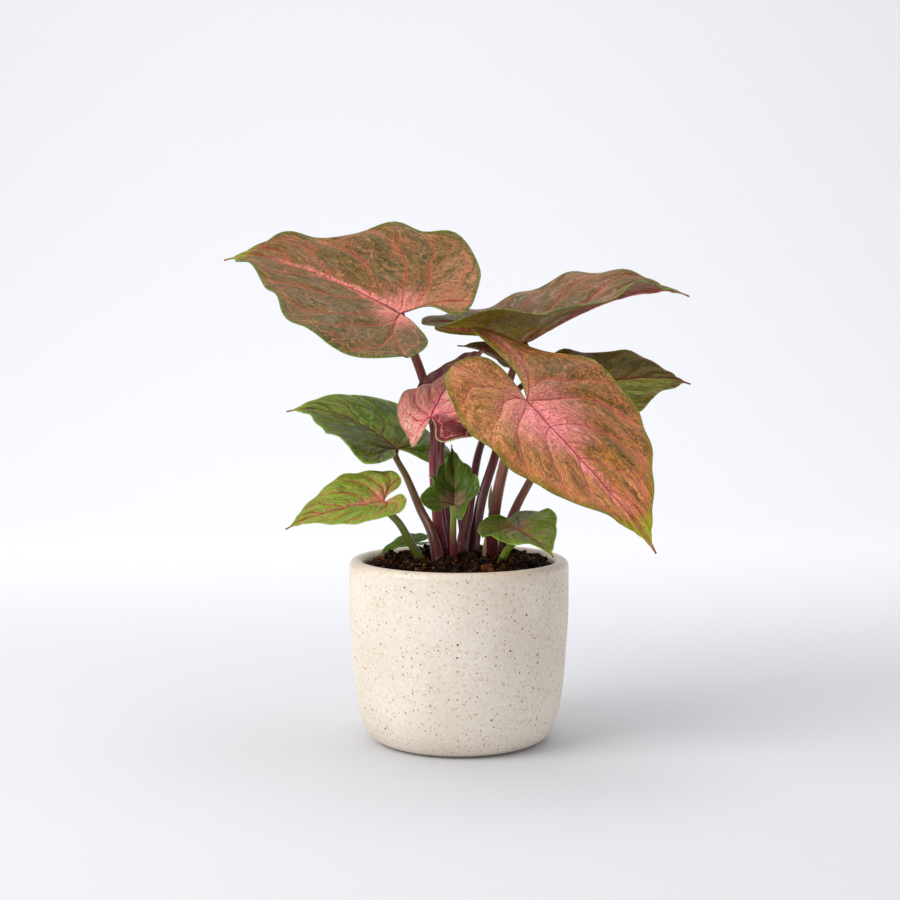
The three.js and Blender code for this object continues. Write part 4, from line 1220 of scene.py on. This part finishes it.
# %% Distances to the side veins
def vein_distances(add, on):
    whole = add("Math", on.count, 0.5, operation="ADD")
    start = on.count
    for operation, *by in (("FLOOR",), ("MULTIPLY", 2.4), ("SINE",)):
        start = add("Math", start, *by, operation=operation)
    start = add("MapRange", start, -1.0, 1.0, 0.22, 0.55)
    fork = add("MapRange", on.out, start, 1.15, 0.0, 0.55, **SOFT)
    lines = []
    for shift in (0.0, fork, 0.5):
        apart = whole
        for operation, *by in (("SUBTRACT", shift), ("FRACT",), ("SUBTRACT", 0.5),
                               ("ABSOLUTE",), ("MULTIPLY", on.gap)):
            apart = add("Math", apart, *by, operation=operation)
        lines.append(apart)
    on.side, on.forked, on.weak = lines
    beyond = add("MapRange", on.out, -0.02, 0.0, 30.0, 0.0)
    on.side = add("Math", on.side, beyond, operation="ADD")


print("forks start at 22 to 55% of the way out")

# %% [markdown]
# ### Nets and strokes
# Between the side veins lies a net of small veins, in cells of about 7 mm, and a finer one of
# 2.4 mm in it. Cell noise gives such nets as its distance to an edge. The real net goes on down
# to 0.5 mm, which is too fine to show. The light strokes that run out along the side veins are
# cells of noise too, drawn out into dashes about 4 mm long and 1 mm wide in three directions, and
# thinned out where a broad noise is low.

# %% Nets and strokes
def net_lines(add, on):
    on.net_line, on.fine_line = (
        add("MapRange", add("TexVoronoi", on.swayed, {"Scale": scale},
                            feature="DISTANCE_TO_EDGE"), near, far, 1.0, 0.0, **SOFT)
        for scale, near, far in ((0.14, 0.005, 0.04), (0.42, 0.0, 0.1)))


def stroke_mask(add, on, look):
    strokes = 0.0
    for turn, cell in ((0.25, 2.6), (1.15, 3.0), (-0.8, 2.8)):
        drawn = add("Mapping", on.lanes, {
            "Rotation": (0, 0, turn), "Scale": (3.3 * cell, 0.75 * cell, cell)},
            vector_type="TEXTURE")
        dash = add("TexVoronoi", drawn, {"Scale": 1.0})
        dash = add("MapRange", dash, 0.05, 0.24, 1.0, 0.0, **SOFT)
        strokes = add("Math", strokes, dash, operation="MAXIMUM")
    broad = add("VectorMath", on.lanes, (0.15, 0.45, 1), operation="MULTIPLY")
    on.broad = add("TexNoise", broad, {"Scale": 1.0, "Detail": 3.0})
    where = add("MapRange", on.broad, 0.38, 0.6, 0.25, 1.0)
    strokes = add("Math", strokes, where, operation="MULTIPLY")
    return add("Math", strokes, look["strokes"], operation="MULTIPLY")


print("a stroke is about", round(2 * 0.24 * 3.3 * 2.6, 1), "mm long")

# %% [markdown]
# ### Patches
# Dark patches lie between the side veins, away from the midrib, and differ on the two halves of
# the blade. Their noise is stretched along the veins, in blots of about 6 by 4 mm.

# %% Patches
def patch_mask(add, on, look):
    right, left = look["patches"]
    patches = add("MapRange", on.across, -3.0, 3.0, left, right)
    inside = add("MapRange", on.side, 0.5, 3.5, **SOFT)
    away = add("MapRange", on.midrib, 1.5, 9.0, **SOFT)
    blots = add("VectorMath", on.lanes, (0.17, 0.28, 1), operation="MULTIPLY")
    blots = add("TexNoise", blots, {"Scale": 1.0, "Detail": 5.0, "Roughness": 0.6})
    blots = add("MapRange", blots, 0.44, 0.57, **SOFT)
    for other in (inside, away, blots):
        patches = add("Math", patches, other, operation="MULTIPLY")
    return patches


print("blots:", round(1 / 0.17, 1), "by", round(1 / 0.28, 1), "mm")

# %% [markdown]
# ### The glow
# Where the veins meet, a young leaf is pink, and the pink runs on along the midrib and fades
# towards the tip. Three masks make it: a round heart, a band that narrows as it goes forward and
# a thin line on the midrib itself. The flecks eat into its border, and the grain breaks it up.

# %% Glow
def glow_mask(add, on, look):
    x, y = look["glow_at"]
    near = add("VectorMath", on.flat, (1, 1, 0), (-x, -y, 0), operation="MULTIPLY_ADD")
    near = add("VectorMath", near, operation="LENGTH")
    on.reach = add("Math", on.flecks, -14.0, near, operation="MULTIPLY_ADD")
    heart = add("MapRange", on.reach, -7.0, look["glow_size"] - 7.0, 0.95, 0.0, **SOFT)

    far, wide = look["glow_line"]
    ahead = add("MapRange", on.ahead, 0.0, far * on.length, 1.0, 0.02)
    width = add("Math", ahead, 2.2 * wide, operation="MULTIPLY")
    beside = add("Math", on.across, look["lean"], operation="SUBTRACT")
    beside = add("Math", beside, operation="ABSOLUTE")
    beside = add("Math", on.flecks, -6.0, beside, operation="MULTIPLY_ADD")
    beside = add("Math", beside, 3.0, operation="ADD")
    beside = add("Math", beside, width, operation="DIVIDE")
    band = add("MapRange", beside, 0.15, 1.0, 0.85, 0.0, **SOFT)
    front = add("MapRange", on.ahead, -4.0, 3.0)
    band = add("Math", band, front, operation="MULTIPLY")

    line = add("MapRange", on.midrib, 0.0, wide, 0.55, 0.0, **SOFT)
    faded = add("MapRange", on.ahead, -12.0, 2.0, 0.25)
    line = add("Math", line, faded, operation="MULTIPLY")

    glow = add("Math", heart, band, operation="MAXIMUM")
    glow = add("Math", glow, line, operation="MAXIMUM")
    spent = add("MapRange", on.ahead, 0.5 * on.length, 0.85 * on.length, 1.0, 0.2)
    glow = add("Math", glow, spent, operation="MULTIPLY")
    broken = add("MapRange", on.grain, 0.35, 0.65, 1.05, 0.8)
    return add("Math", glow, broken, operation="MULTIPLY", use_clamp=True)


print("widest glow:", max(look["glow_size"] for look in LOOKS.values()), "mm")

# %% [markdown]
# ### The veins
# Side veins are thin lines that narrow on their way out, a little ragged, with weaker forks and
# half-way veins between them. They end in a vein that follows the margin. The midrib tapers to
# the tip, and its colour may turn from dark to light along it. Behind the stalk it goes on as the
# lobe's main vein, in the side veins' colour.

# %% Veins
def vein_lines(add, on, look):
    ragged = add("Math", on.grain, 0.4, -0.2, operation="MULTIPLY_ADD")
    thin, thick = 0.6 * look["vein_width"], 1.5 * look["vein_width"]
    width = add("MapRange", on.out, 0.0, 1.0, thick, thin)
    veins = []
    for apart, strength, begin, end in ((on.side, 0.9, -0.1, 0.05), (on.forked, 0.7, 0.25, 0.45),
                                        (on.weak, 0.45, 0.55, 0.1)):
        apart = add("Math", apart, ragged, operation="ADD")
        apart = add("Math", apart, width, operation="DIVIDE")
        line = add("MapRange", apart, 0.3, 1.1, strength, 0.0, **SOFT)
        shown = add("MapRange", on.out, begin, end)
        veins.append(add("Math", line, shown, operation="MULTIPLY"))
    lines = add("Math", veins[0], veins[1], operation="MAXIMUM")
    lines = add("Math", lines, veins[2], operation="MAXIMUM")
    ended = add("MapRange", on.margin, 2.5, 6.0, **SOFT)
    on.side_line = add("Math", lines, ended, operation="MULTIPLY")
    around = add("Math", on.flecks, 8.0, on.margin, operation="MULTIPLY_ADD")
    around = add("Math", around, 4.8 + look["rim_width"], operation="SUBTRACT")
    around = add("Math", around, operation="ABSOLUTE")
    on.margin_line = add("MapRange", around, 0.1, 0.5, 0.8, 0.0, **SOFT)


def midrib_colour(add, on, look):
    """The midrib's mask is kept in the bundle; its colour is returned."""
    thick, thin = look["main_width"], 0.22 * look["main_width"]
    width = add("MapRange", on.ahead, -0.3 * on.length, on.length, thick, thin)
    behind = add("MapRange", on.ahead, 1.0, -5.0, **SOFT)
    width = add("MapRange", behind, 0.0, 1.0, width, 0.8 * look["vein_width"])
    apart = add("Math", on.midrib, width, operation="DIVIDE")
    on.main_line = add("MapRange", apart, 0.5, 1.35, 0.92, 0.0, **SOFT)
    late = add("MapRange", on.reach, 0.0, 0.5 * on.length)
    tone = add("Mix", {0: late, 6: paint(look["main"]), 7: paint(look["main_tip"])},
               data_type="RGBA")
    return add("Mix", {0: behind, 6: tone, 7: paint(look["vein"])}, data_type="RGBA")


print("widest midrib:", max(look["main_width"] for look in LOOKS.values()), "mm on either side")

# %% [markdown]
# ### Margin, tip and the two halves
# The margin is a band of greener colour with a thin outermost line, and the tip has a colour of
# its own that ends in a tiny dry point. Leaves often show another colour on one half, from a
# place along the leaf onwards. Such a tint is laid once below the patterns, and on some leaves
# again over the glow.

# %% Margin, tip and tints
def rim_masks(add, on, look):
    rim = add("Math", on.flecks, -4.0, on.margin, operation="MULTIPLY_ADD")
    rim = add("MapRange", rim, -1.4, look["rim_width"] - 2.0, 0.8, 0.0, **SOFT)
    begin, end = 0.4 * look["edge_width"], 1.6 * look["edge_width"]
    edge = add("MapRange", on.margin, begin, end, 0.9, 0.0, **SOFT)
    begin, end = look["tip_from"] * on.length, (look["tip_from"] + 0.13) * on.length
    tip = add("MapRange", on.ahead, begin, end, **SOFT)
    tip_end = add("MapRange", on.ahead, 0.97 * on.length, 0.995 * on.length, **SOFT)
    return rim, edge, tip, tip_end


def half_tints(add, on, look):
    """Colours and masks of the two halves, and the same again for over the glow."""
    tints = []
    for key, sign in (("right_tint", 1.0), ("left_tint", -1.0)):
        tone, amount, begin, end = look[key]
        half = add("MapRange", on.across, -sign, 2.5 * sign, 0.0, amount)
        along = add("Math", on.flecks, 12.0, on.ahead, operation="MULTIPLY_ADD")
        along = add("MapRange", along, begin + 6.0, end + 6.0, **SOFT)
        tints.append((tone, add("Math", half, along, operation="MULTIPLY")))
    return tints, [(tone, add("Math", mask, look["tint_over"], operation="MULTIPLY"))
                   for tone, mask in tints]


print("tinted right halves:", sum(look["right_tint"] != NO_TINT for look in LOOKS.values()))

# %% [markdown]
# ### All layers together
# The layers are laid one over the other, as glazes of paint, each through its mask. Among them
# are a painted sheen, pale patches of colour that stand in for the shine of the wax, and a halo,
# a soft band along each side vein. Two noises then shade the whole: streaks along the veins, and
# grain. In relief the veins lie in grooves of about 0.2 mm, and the skin between them is uneven by
# up to half a millimetre. A thin leaf also lets some light through, so a little of it is scattered
# below the skin.

# %% Waxy leaf skin
def layered_colour(add, on, look):
    strokes = stroke_mask(add, on, look)
    # A painted sheen: a pale colour laid in broad patches where the wax would shine.
    painted_sheen = add("MapRange", on.broad, 0.5, 0.68, 0.0, look["painted_sheen_amount"], **SOFT)
    halo = add("MapRange", on.side, 0.0, look["halo_width"], look["haloes"], 0.0, **SOFT)
    glow = glow_mask(add, on, look)
    rim, edge, tip, tip_end = rim_masks(add, on, look)
    tints, tints_over = half_tints(add, on, look)
    midrib_tone = midrib_colour(add, on, look)
    small_net = add("Math", on.net_line, look["nets"], operation="MULTIPLY")
    fine_net = add("Math", on.fine_line, 0.4 * look["nets"], operation="MULTIPLY")
    cloudy = add("MapRange", on.clouds, 0.38, 0.6, **SOFT)
    colour = add("Mix", {0: cloudy, 6: paint(look["ground"]), 7: paint(look["second"])},
                 data_type="RGBA")
    for tone, mask in (
            *tints, (look["patch"], patch_mask(add, on, look)),
            (look["painted_sheen"], painted_sheen), (look["rim"], rim), (look["halo"], halo),
            (look["stroke"], strokes),
            (look["net"], fine_net), (look["glow"], glow), *tints_over, (look["net"], small_net),
            (look["net"], on.margin_line), (look["vein"], on.side_line), (look["edge"], edge),
            (look["tip"], tip), (midrib_tone, on.main_line), (look["tip_end"], tip_end)):
        tone = paint(tone) if isinstance(tone, str) else tone
        colour = add("Mix", {0: mask, 6: colour, 7: tone}, data_type="RGBA")
    streaks = add("VectorMath", on.lanes, (0.5, 1.4, 1), operation="MULTIPLY")
    streaks = add("TexNoise", streaks, {"Scale": 1.0, "Detail": 4.0})
    for noise, darkest, lightest in ((streaks, 0.52, 1.42), (on.grain, 0.8, 1.18)):
        shade = add("MapRange", noise, 0.34, 0.66, darkest, lightest)
        colour = add("VectorMath", colour, {"Scale": shade}, operation="SCALE")
    return colour


def leaf_skin(name, look, length):
    skin, add = new_material(f"waxy_leaf_{name}")
    on = leaf_places(add, length)
    vein_distances(add, on)
    net_lines(add, on)
    vein_lines(add, on, look)
    colour = layered_colour(add, on, look)
    relief = add("Math", on.side_line, -0.16 * MM, operation="MULTIPLY")
    for mask, depth in ((on.main_line, -0.22), (on.net_line, -0.1), (on.fine_line, -0.04),
                        (on.grain, 0.06), (on.flecks, 0.5)):
        relief = add("Math", mask, depth * MM, relief, operation="MULTIPLY_ADD")
    bump = add("Bump", {"Height": relief, "Distance": 1.0, "Strength": 0.9})
    # Wax: a broad, pale shine, a little duller where it is thick.
    gloss = add("MapRange", on.flecks, 0.3, 0.7, look["rough"] - 0.05, look["rough"] + 0.08)
    shader = add("BsdfPrincipled", {
        "Base Color": colour, "Roughness": gloss, "IOR": 1.45, "Normal": bump,
        "Specular IOR Level": 0.2, "Subsurface Weight": 0.05,
        "Subsurface Radius": (0.002, 0.0012, 0.0006)})
    add("OutputMaterial", {"Surface": shader})
    print(skin.name, len(skin.node_tree.nodes), "nodes")
    return skin


skins = {name: leaf_skin(name, LOOKS[name], leaf["length"]) for name, leaf in LEAVES.items()}

# %% [markdown]
# ### The underside
# The back of a leaf has less wax, so it is paler and duller, and every vein stands out on it. It
# is warmer in colour where the stalk joins. The ribs are in the mesh already, so this skin needs
# only their colours, a net of small veins in cells of 3 mm, and a fine grain of 0.8 mm. The faces
# that Solidify added take it as their second material.

# %% Dull leaf back
def leaf_back(name, look, length):
    back, add = new_material(f"dull_leaf_back_{name}")
    flat = add("Attribute", attribute_name="flat").outputs["Vector"]
    clouds = add("TexNoise", flat, {"Scale": 0.09, "Detail": 4.0})
    grain = add("TexNoise", flat, {"Scale": 1.2, "Detail": 3.0})
    net = add("TexVoronoi", flat, {"Scale": 0.3}, feature="DISTANCE_TO_EDGE")
    net = add("MapRange", net, 0.0, 0.1, 1.0, 0.0, **SOFT)
    near = add("VectorMath", flat, (1, 1, 0), operation="MULTIPLY")
    near = add("VectorMath", near, operation="LENGTH")
    base = add("MapRange", near, 0.02 * length, 0.42 * length, 0.95, 0.0, **SOFT)
    main, side, edge = (
        add("MapRange", add("Attribute", attribute_name=key).outputs["Fac"], begin, end,
            strength, 0.0, **SOFT)
        for key, begin, end, strength in (("midrib", 0.5, 1.6, 0.6), ("side_vein", 0.2, 0.9, 0.5),
                                          ("margin", 0.3, 1.4, 0.8)))
    cloudy = add("MapRange", clouds, 0.35, 0.65, 0.0, 0.55, **SOFT)
    faint = add("Math", net, 0.25, operation="MULTIPLY")
    colour = add("Mix", {0: cloudy, 6: paint(look["under"]), 7: paint(look["second"])},
                 data_type="RGBA")
    for tone, mask in ((look["under_base"], base), (look["halo"], faint), (look["halo"], side),
                       (look["main"], main), (look["edge"], edge)):
        colour = add("Mix", {0: mask, 6: colour, 7: paint(tone)}, data_type="RGBA")
    shade = add("MapRange", grain, 0.3, 0.7, 0.88, 1.08)
    colour = add("VectorMath", colour, {"Scale": shade}, operation="SCALE")
    relief = add("Math", net, 0.08 * MM, operation="MULTIPLY")
    relief = add("Math", grain, 0.08 * MM, relief, operation="MULTIPLY_ADD")
    bump = add("Bump", {"Height": relief, "Distance": 1.0})
    # Little wax: the shine is wide and weak, so the back looks matt beside the upper side.
    shader = add("BsdfPrincipled", {"Base Color": colour, "Roughness": 0.5, "IOR": 1.45,
                                    "Specular IOR Level": 0.2, "Normal": bump})
    add("OutputMaterial", {"Surface": shader})
    return back


for name, blade in blades.items():
    finished(blade, f"blade_{name}", skins[name],
             leaf_back(name, LOOKS[name], LEAVES[name]["length"]))

# %% [markdown]
# ## Stalk skin
# A leaf stalk is smooth and juicy: glossy, with fine streaks along its length, darker and redder
# towards the soil. Each has its own colours at the top, in the middle and at the foot, and the
# two strips of old sheath are done in the same way.

# %% Stalk colours from the top, over the middle, to the foot
STEMS = {
    "upper_left": ("#8c4e48", "#84484a", "#682430"),
    "upper_right": ("#7e4840", "#7e4640", "#60262c"),
    "front_right": ("#906048", "#8a5648", "#66282e"),
    "right_rear": ("#966c48", "#8e5c42", "#683830"),
    "centre_pink": ("#90404a", "#883c44", "#7c3034"),
    "centre_maroon": ("#7a3840", "#74323a", "#60222c"),
    "left": ("#847038", "#80583a", "#6c2e2c"),
    "lower_left": ("#7c8430", "#72802c", "#6a7830"),
    "small_centre": ("#849c38", "#823c42", "#702434"),
    "small_right": ("#84a032", "#80a22a", "#7c982a"),
    "low_rear": ("#728828", "#647426", "#545420"),
    "rear": ("#784840", "#6a383c", "#522028"),
    "young": ("#782432", "#702a36", "#601f2a"),
    "sheath_green": ("#b0b040", "#a4a43c", "#8c9038"),
    "sheath_dry": ("#b89064", "#a47c54", "#805838")}
print(len(STEMS), "sets of stalk colours")

# %% [markdown]
# ### Streaks along a stalk
# The mesh keeps a place round and along each stalk in millimetres, and noise squeezed along it
# becomes streaks: pale ones about 1 mm wide and 30 mm long, and darker lines 0.4 mm wide. Real
# ones are half as wide, which would not show. Small corky dots of about 0.5 mm lie on them.

# %% Juicy stalk skin
def stem_skin(name, tones):
    skin, add = new_material(f"juicy_stem_{name}")
    grain = add("Attribute", attribute_name="grain").outputs["Vector"]
    up = add("Attribute", attribute_name="up").outputs["Fac"]
    streaks = add("VectorMath", grain, (0.9, 0.9, 0.035), operation="MULTIPLY")
    streaks = add("TexNoise", streaks, {"Scale": 1.0, "Detail": 5.0, "Roughness": 0.65})
    lines = add("VectorMath", grain, (2.6, 2.6, 0.05), operation="MULTIPLY")
    lines = add("TexNoise", lines, {"Scale": 1.0, "Detail": 2.0})
    dots = add("TexVoronoi", grain, {"Scale": 0.42})
    high = add("MapRange", up, 0.5, 0.95, **SOFT)
    low = add("MapRange", up, 0.2, 0.62, 1.0, 0.0, **SOFT)
    pale = add("MapRange", streaks, 0.5, 0.7, 0.0, 0.55, **SOFT)
    dark = add("MapRange", lines, 0.3, 0.46, 0.5, 0.0, **SOFT)
    dots = add("MapRange", dots, 0.05, 0.13, 0.5, 0.0, **SOFT)
    top, middle, foot = tones
    colour = add("Mix", {0: high, 6: paint(middle), 7: paint(top)}, data_type="RGBA")
    for tone, mask in ((foot, low), ("#a8786c", pale), ("#2c0c14", dark), ("#b09478", dots)):
        colour = add("Mix", {0: mask, 6: colour, 7: paint(tone)}, data_type="RGBA")
    relief = add("Math", lines, 0.1 * MM, operation="MULTIPLY")
    bump = add("Bump", {"Height": relief, "Distance": 1.0})
    # A taut skin full of water: a narrow, bright highlight, and a little light inside.
    shader = add("BsdfPrincipled", {
        "Base Color": colour, "Roughness": 0.22, "IOR": 1.45, "Normal": bump,
        "Specular IOR Level": 0.42, "Subsurface Weight": 0.08,
        "Subsurface Radius": (0.002, 0.0008, 0.0005)})
    add("OutputMaterial", {"Surface": shader})
    return skin


for name, stalk in stalks.items():
    finished(stalk, f"stalk_{name}", stem_skin(name, STEMS[name]))
finished(spear, "spear", stem_skin("young", STEMS["young"]))
for name, strip in strips.items():
    finished(strip, None, stem_skin(name, STEMS[name]))

# %% [markdown]
# ## Glaze
# Speckled stoneware: a warm cream satin glaze over a clay with iron in it. In the kiln the iron
# grains bleed through as tan to dark brown dots of up to 1.2 mm, and faint tan and white flecks
# about 2 mm long lie between them.
#
# Dots laid in space would be cut to slivers where the wall turns, so they are laid on the wall
# unrolled: round the pot one way and along the profile the other, in millimetres.

# %% The unrolled wall
AVERAGE_RADIUS = 57.0
glaze, add = new_material("satin_stoneware_glaze")
here = add("TexCoord").outputs["Object"]
x_way, y_way, height = add("SeparateXYZ", here).outputs
backwards = add("Math", y_way, -1.0, operation="MULTIPLY")
round_the_pot = add("Math", x_way, backwards, operation="ARCTAN2")
wall = add("CombineXYZ", add("Math", round_the_pot, AVERAGE_RADIUS, operation="MULTIPLY"),
           add("Attribute", attribute_name="profile").outputs["Fac"])
print("the unrolled wall is", round(2 * math.pi * AVERAGE_RADIUS), "mm long")

# %% [markdown]
# ### Cloudy cream
# The ground of the glaze is cream in soft clouds of about 40 mm, mottled at 2 mm, and the mottling
# is also the slight unevenness that a glaze has when it sets.

# %% Cream ground
clouds = add("TexNoise", here, {"Scale": 26.0, "Detail": 4.0})
mottle = add("TexNoise", wall, {"Scale": 0.55, "Detail": 5.0, "Roughness": 0.65})
cloudy = add("MapRange", clouds, 0.35, 0.65, **SOFT)
colour = add("Mix", {0: cloudy, 6: paint("#e4d8c6"), 7: paint("#ede2d3")}, data_type="RGBA")
shade = add("MapRange", mottle, 0.3, 0.7, 0.91, 1.05)
colour = add("VectorMath", colour, {"Scale": shade}, operation="SCALE")
relief = add("Math", mottle, 0.05 * MM, operation="MULTIPLY")
print("clouds of", round(1000 / 26), "mm")

# %% [markdown]
# ### Flecks and dots
# Both are cells of noise. A cell's colour is a number of its own, which says whether it holds a
# dot and how large that is. Flecks are cells drawn out in five directions. Dots come in four
# sizes, the larger ones darker and rarer, and each is a tiny pit.

# %% Flecks and dots
FLECKS = (  # turn, cell in mm, colour, strength
    (0.4, 2.0, "#cc9648", 0.5), (1.3, 2.3, "#bc8438", 0.5), (2.4, 2.1, "#cc9648", 0.5),
    (0.9, 3.0, "#fdf8f0", 0.35), (2.0, 2.7, "#fdf8f0", 0.35))
DOTS = (  # cell and largest radius in mm, share of cells with a dot, colour, strength
    (2.4, 0.36, 0.25, "#c08c40", 0.85), (3.0, 0.42, 0.22, "#b07820", 0.95),
    (4.8, 0.46, 0.34, "#98581a", 1.0), (9.0, 0.6, 0.16, "#64360e", 1.0))
for turn, cell, tone, strength in FLECKS:
    drawn = add("Mapping", wall, {"Rotation": (0, 0, turn),
                                  "Scale": (2.4 * cell, 0.6 * cell, 1.0)}, vector_type="TEXTURE")
    cells = add("TexVoronoi", drawn, {"Scale": 1.0}, voronoi_dimensions="2D")
    own = add("SeparateColor", cells.outputs["Color"]).outputs["Red"]
    some = add("MapRange", own, 0.72, 0.95, 0.0, strength)
    fleck = add("MapRange", cells.outputs["Distance"], 0.1, 0.24, 1.0, 0.0, **SOFT)
    fleck = add("Math", fleck, some, operation="MULTIPLY")
    colour = add("Mix", {0: fleck, 6: colour, 7: paint(tone)}, data_type="RGBA")
for cell, dot, share, tone, strength in DOTS:
    moved = add("VectorMath", wall, (31 * cell, 17 * cell, 0), operation="ADD")
    cells = add("TexVoronoi", moved, {"Scale": 1 / cell}, voronoi_dimensions="2D")
    own = add("SeparateColor", cells.outputs["Color"]).outputs["Red"]
    size = add("MapRange", own, 1 - share, 1 - 0.4 * share, 0.0, dot / cell)
    inside = add("Math", size, cells.outputs["Distance"], operation="SUBTRACT")
    dots = add("MapRange", inside, 0.0, 0.08 / cell, 0.0, strength, **SOFT)
    colour = add("Mix", {0: dots, 6: colour, 7: paint(tone)}, data_type="RGBA")
    relief = add("Math", dots, -0.05 * MM, relief, operation="MULTIPLY_ADD")
print(len(FLECKS), "kinds of fleck and", len(DOTS), "kinds of dot")

# %% [markdown]
# ### The lip and the shine
# A satin glaze gives a soft highlight that still shows the lamp's shape. It is smoother over the
# lip, where the glaze ran thin and the brown clay shows through.

# %% Satin glaze
lip_band = add("Math", clouds, 0.02, height, operation="MULTIPLY_ADD")
lip_tint = add("MapRange", lip_band, 0.103, 0.112, 0.0, 0.45, **SOFT)
colour = add("Mix", {0: lip_tint, 6: colour, 7: paint("#d8bf9c")}, data_type="RGBA")
satin = add("MapRange", height, 0.090, 0.098, 0.5, 0.3, **SOFT)
bump = add("Bump", {"Height": relief, "Distance": 1.0})
shader = add("BsdfPrincipled", {"Base Color": colour, "Roughness": satin, "IOR": 1.5,
                                "Normal": bump, "Specular IOR Level": 0.4})
add("OutputMaterial", {"Surface": shader})
finished(pot, "pot", glaze)

# %% [markdown]
# ## Soil, bark and perlite
# Peat is nearly black when damp, with orange-brown flecks of fibre. It is rough and has little
# shine, so it swallows light, and the pale grains stand out on it. The loose bits take the same
# recipe in other colours, each with grit of its own size: lumps of six grains, grit of one, and
# flecks of nearly two.

# %% Earthy materials
def earth(name, dark, light, fleck, grain_mm, rough):
    made, add = new_material(name)
    here = add("TexCoord").outputs["Object"]
    lumps = add("TexNoise", here, {"Scale": 1 / (6 * grain_mm * MM), "Detail": 4.0})
    grit = add("TexNoise", here, {"Scale": 1 / (grain_mm * MM), "Detail": 4.0})
    cells = add("TexVoronoi", here, {"Scale": 0.6 / (grain_mm * MM)})
    tone = add("MapRange", grit, 0.35, 0.68, **SOFT)
    own = add("SeparateColor", cells.outputs["Color"]).outputs["Red"]
    some = add("MapRange", own, 0.80, 0.92)
    lump = add("MapRange", lumps, 0.4, 0.6, 0.2, 1.0)
    some = add("Math", some, lump, operation="MULTIPLY")
    colour = add("Mix", {0: tone, 6: paint(dark), 7: paint(light)}, data_type="RGBA")
    colour = add("Mix", {0: some, 6: colour, 7: paint(fleck)}, data_type="RGBA")
    relief = add("Math", grit, 1.2 * MM, operation="MULTIPLY")
    bump = add("Bump", {"Height": relief, "Distance": 1.0})
    # Deep relief and hardly any shine: broken, dusty ground, with a damp glint on the clods.
    shader = add("BsdfPrincipled", {"Base Color": colour, "Roughness": rough, "Normal": bump,
                                    "Specular IOR Level": 0.1})
    add("OutputMaterial", {"Surface": shader})
    return made


finished(ground, "soil", earth("damp_peat", "#060301", "#2c160a", "#804818", 1.1, 0.7))
finished(crumbs, None, earth("peat_crumb", "#120802", "#5c3010", "#c07c34", 1.6, 0.7))
finished(clods, None, earth("peat_clod", "#050201", "#2a1509", "#804818", 0.9, 0.6))
finished(bark, None, earth("pine_bark", "#34180a", "#80481e", "#b87838", 0.8, 0.7))
finished(perlite, None, earth("perlite", "#a08458", "#dcc8a0", "#c8a060", 0.5, 0.85))

# %% [markdown]
# ## Floor
# A sheet of pale studio paper runs back from the pot and curves up behind it, so that there is no
# edge between floor and wall. A plain plane would end in a horizon. The paper is matt and a touch
# lighter towards the back.

# %% Floor
paper, add = new_material("studio_paper")
_, depth, _ = add("SeparateXYZ", add("TexCoord").outputs["Object"]).outputs
rise = add("MapRange", depth, 0.1, 0.9, **SOFT)
tone = add("Mix", {0: rise, 6: paint("#d4d4d6"), 7: paint("#f2f2f4")}, data_type="RGBA")
# Uncoated paper: an even, soft white without highlights.
shader = add("BsdfPrincipled", {"Base Color": tone, "Roughness": 0.8, "Specular IOR Level": 0.1})
add("OutputMaterial", {"Surface": shader})

SWEEP = 0.9  # the radius of the curve, in metres
sweep = [(-1.6, 0), (0.9, 0), *[(0.9 + SWEEP * math.sin(t), SWEEP - SWEEP * math.cos(t))
                                for t in np.linspace(0.1, math.pi / 2, 16)], (1.8, 3.2)]
floor, x, y = flat_grid("floor", 1, len(sweep) - 1)
row = np.round(y * (len(sweep) - 1)).astype(int)
move_corners(floor.data, [(6 * u - 3, *sweep[i]) for u, i in zip(x, row)])
bpy.ops.object.shade_smooth()
floor.data.materials.append(paper)
print("the floor sweeps up over", len(sweep), "rows")

# %% [markdown]
# ## Light
# Glossy leaves need large soft lights, because they mirror them. A white room lights everything
# evenly. A large key lamp stands on the upper left in front, a weaker one above and a little
# behind lights the upper edges, and the last one only brightens the paper behind the plant.

# %% Light
scene = bpy.context.scene
scene.view_settings.view_transform = "Standard"
scene.world = bpy.data.worlds.new("white_room")
scene.world.use_nodes = True
room = scene.world.node_tree.nodes["Background"]
room.inputs["Color"].default_value = paint("#f4f6fb")
room.inputs["Strength"].default_value = 0.73


def soft_lamp(name, place, towards, size, watts):
    lamp = bpy.data.objects.new(name, bpy.data.lights.new(name, "AREA"))
    scene.collection.objects.link(lamp)
    lamp.data.size = size
    lamp.data.energy = watts
    lamp.location = place
    lamp.rotation_euler = (Vector(towards) - Vector(place)).to_track_quat("-Z", "Y").to_euler()
    print(name, "lamp:", size, "m wide,", watts, "W")


soft_lamp("key", (-1.1, -0.7, 1.0), (0, 0, 0.15), 1.0, 17)
soft_lamp("top", (0.1, 0.3, 1.4), (0, 0, 0.15), 1.0, 6)
soft_lamp("wall", (0, 0.5, 1.7), (0, 1.8, 0.9), 1.5, 3.0)

# %% [markdown]
# ## Camera
# The camera stands 0.9 m in front of the pot, as high as the upper leaves, and looks down by four
# degrees. A 66 mm lens from that far keeps the leaves in front from looking too large.

# %% Camera
camera = bpy.data.objects.new("camera", bpy.data.cameras.new("camera"))
scene.collection.objects.link(camera)
camera.data.lens = 66
camera.data.sensor_width = 36
camera.location = (0.0032, -0.896, 0.2285)
camera.rotation_euler = (math.radians(90 - 4.43), 0, math.radians(0.52))
scene.camera = camera
print("camera:", round(camera.location.length, 2), "m from the pot's foot")
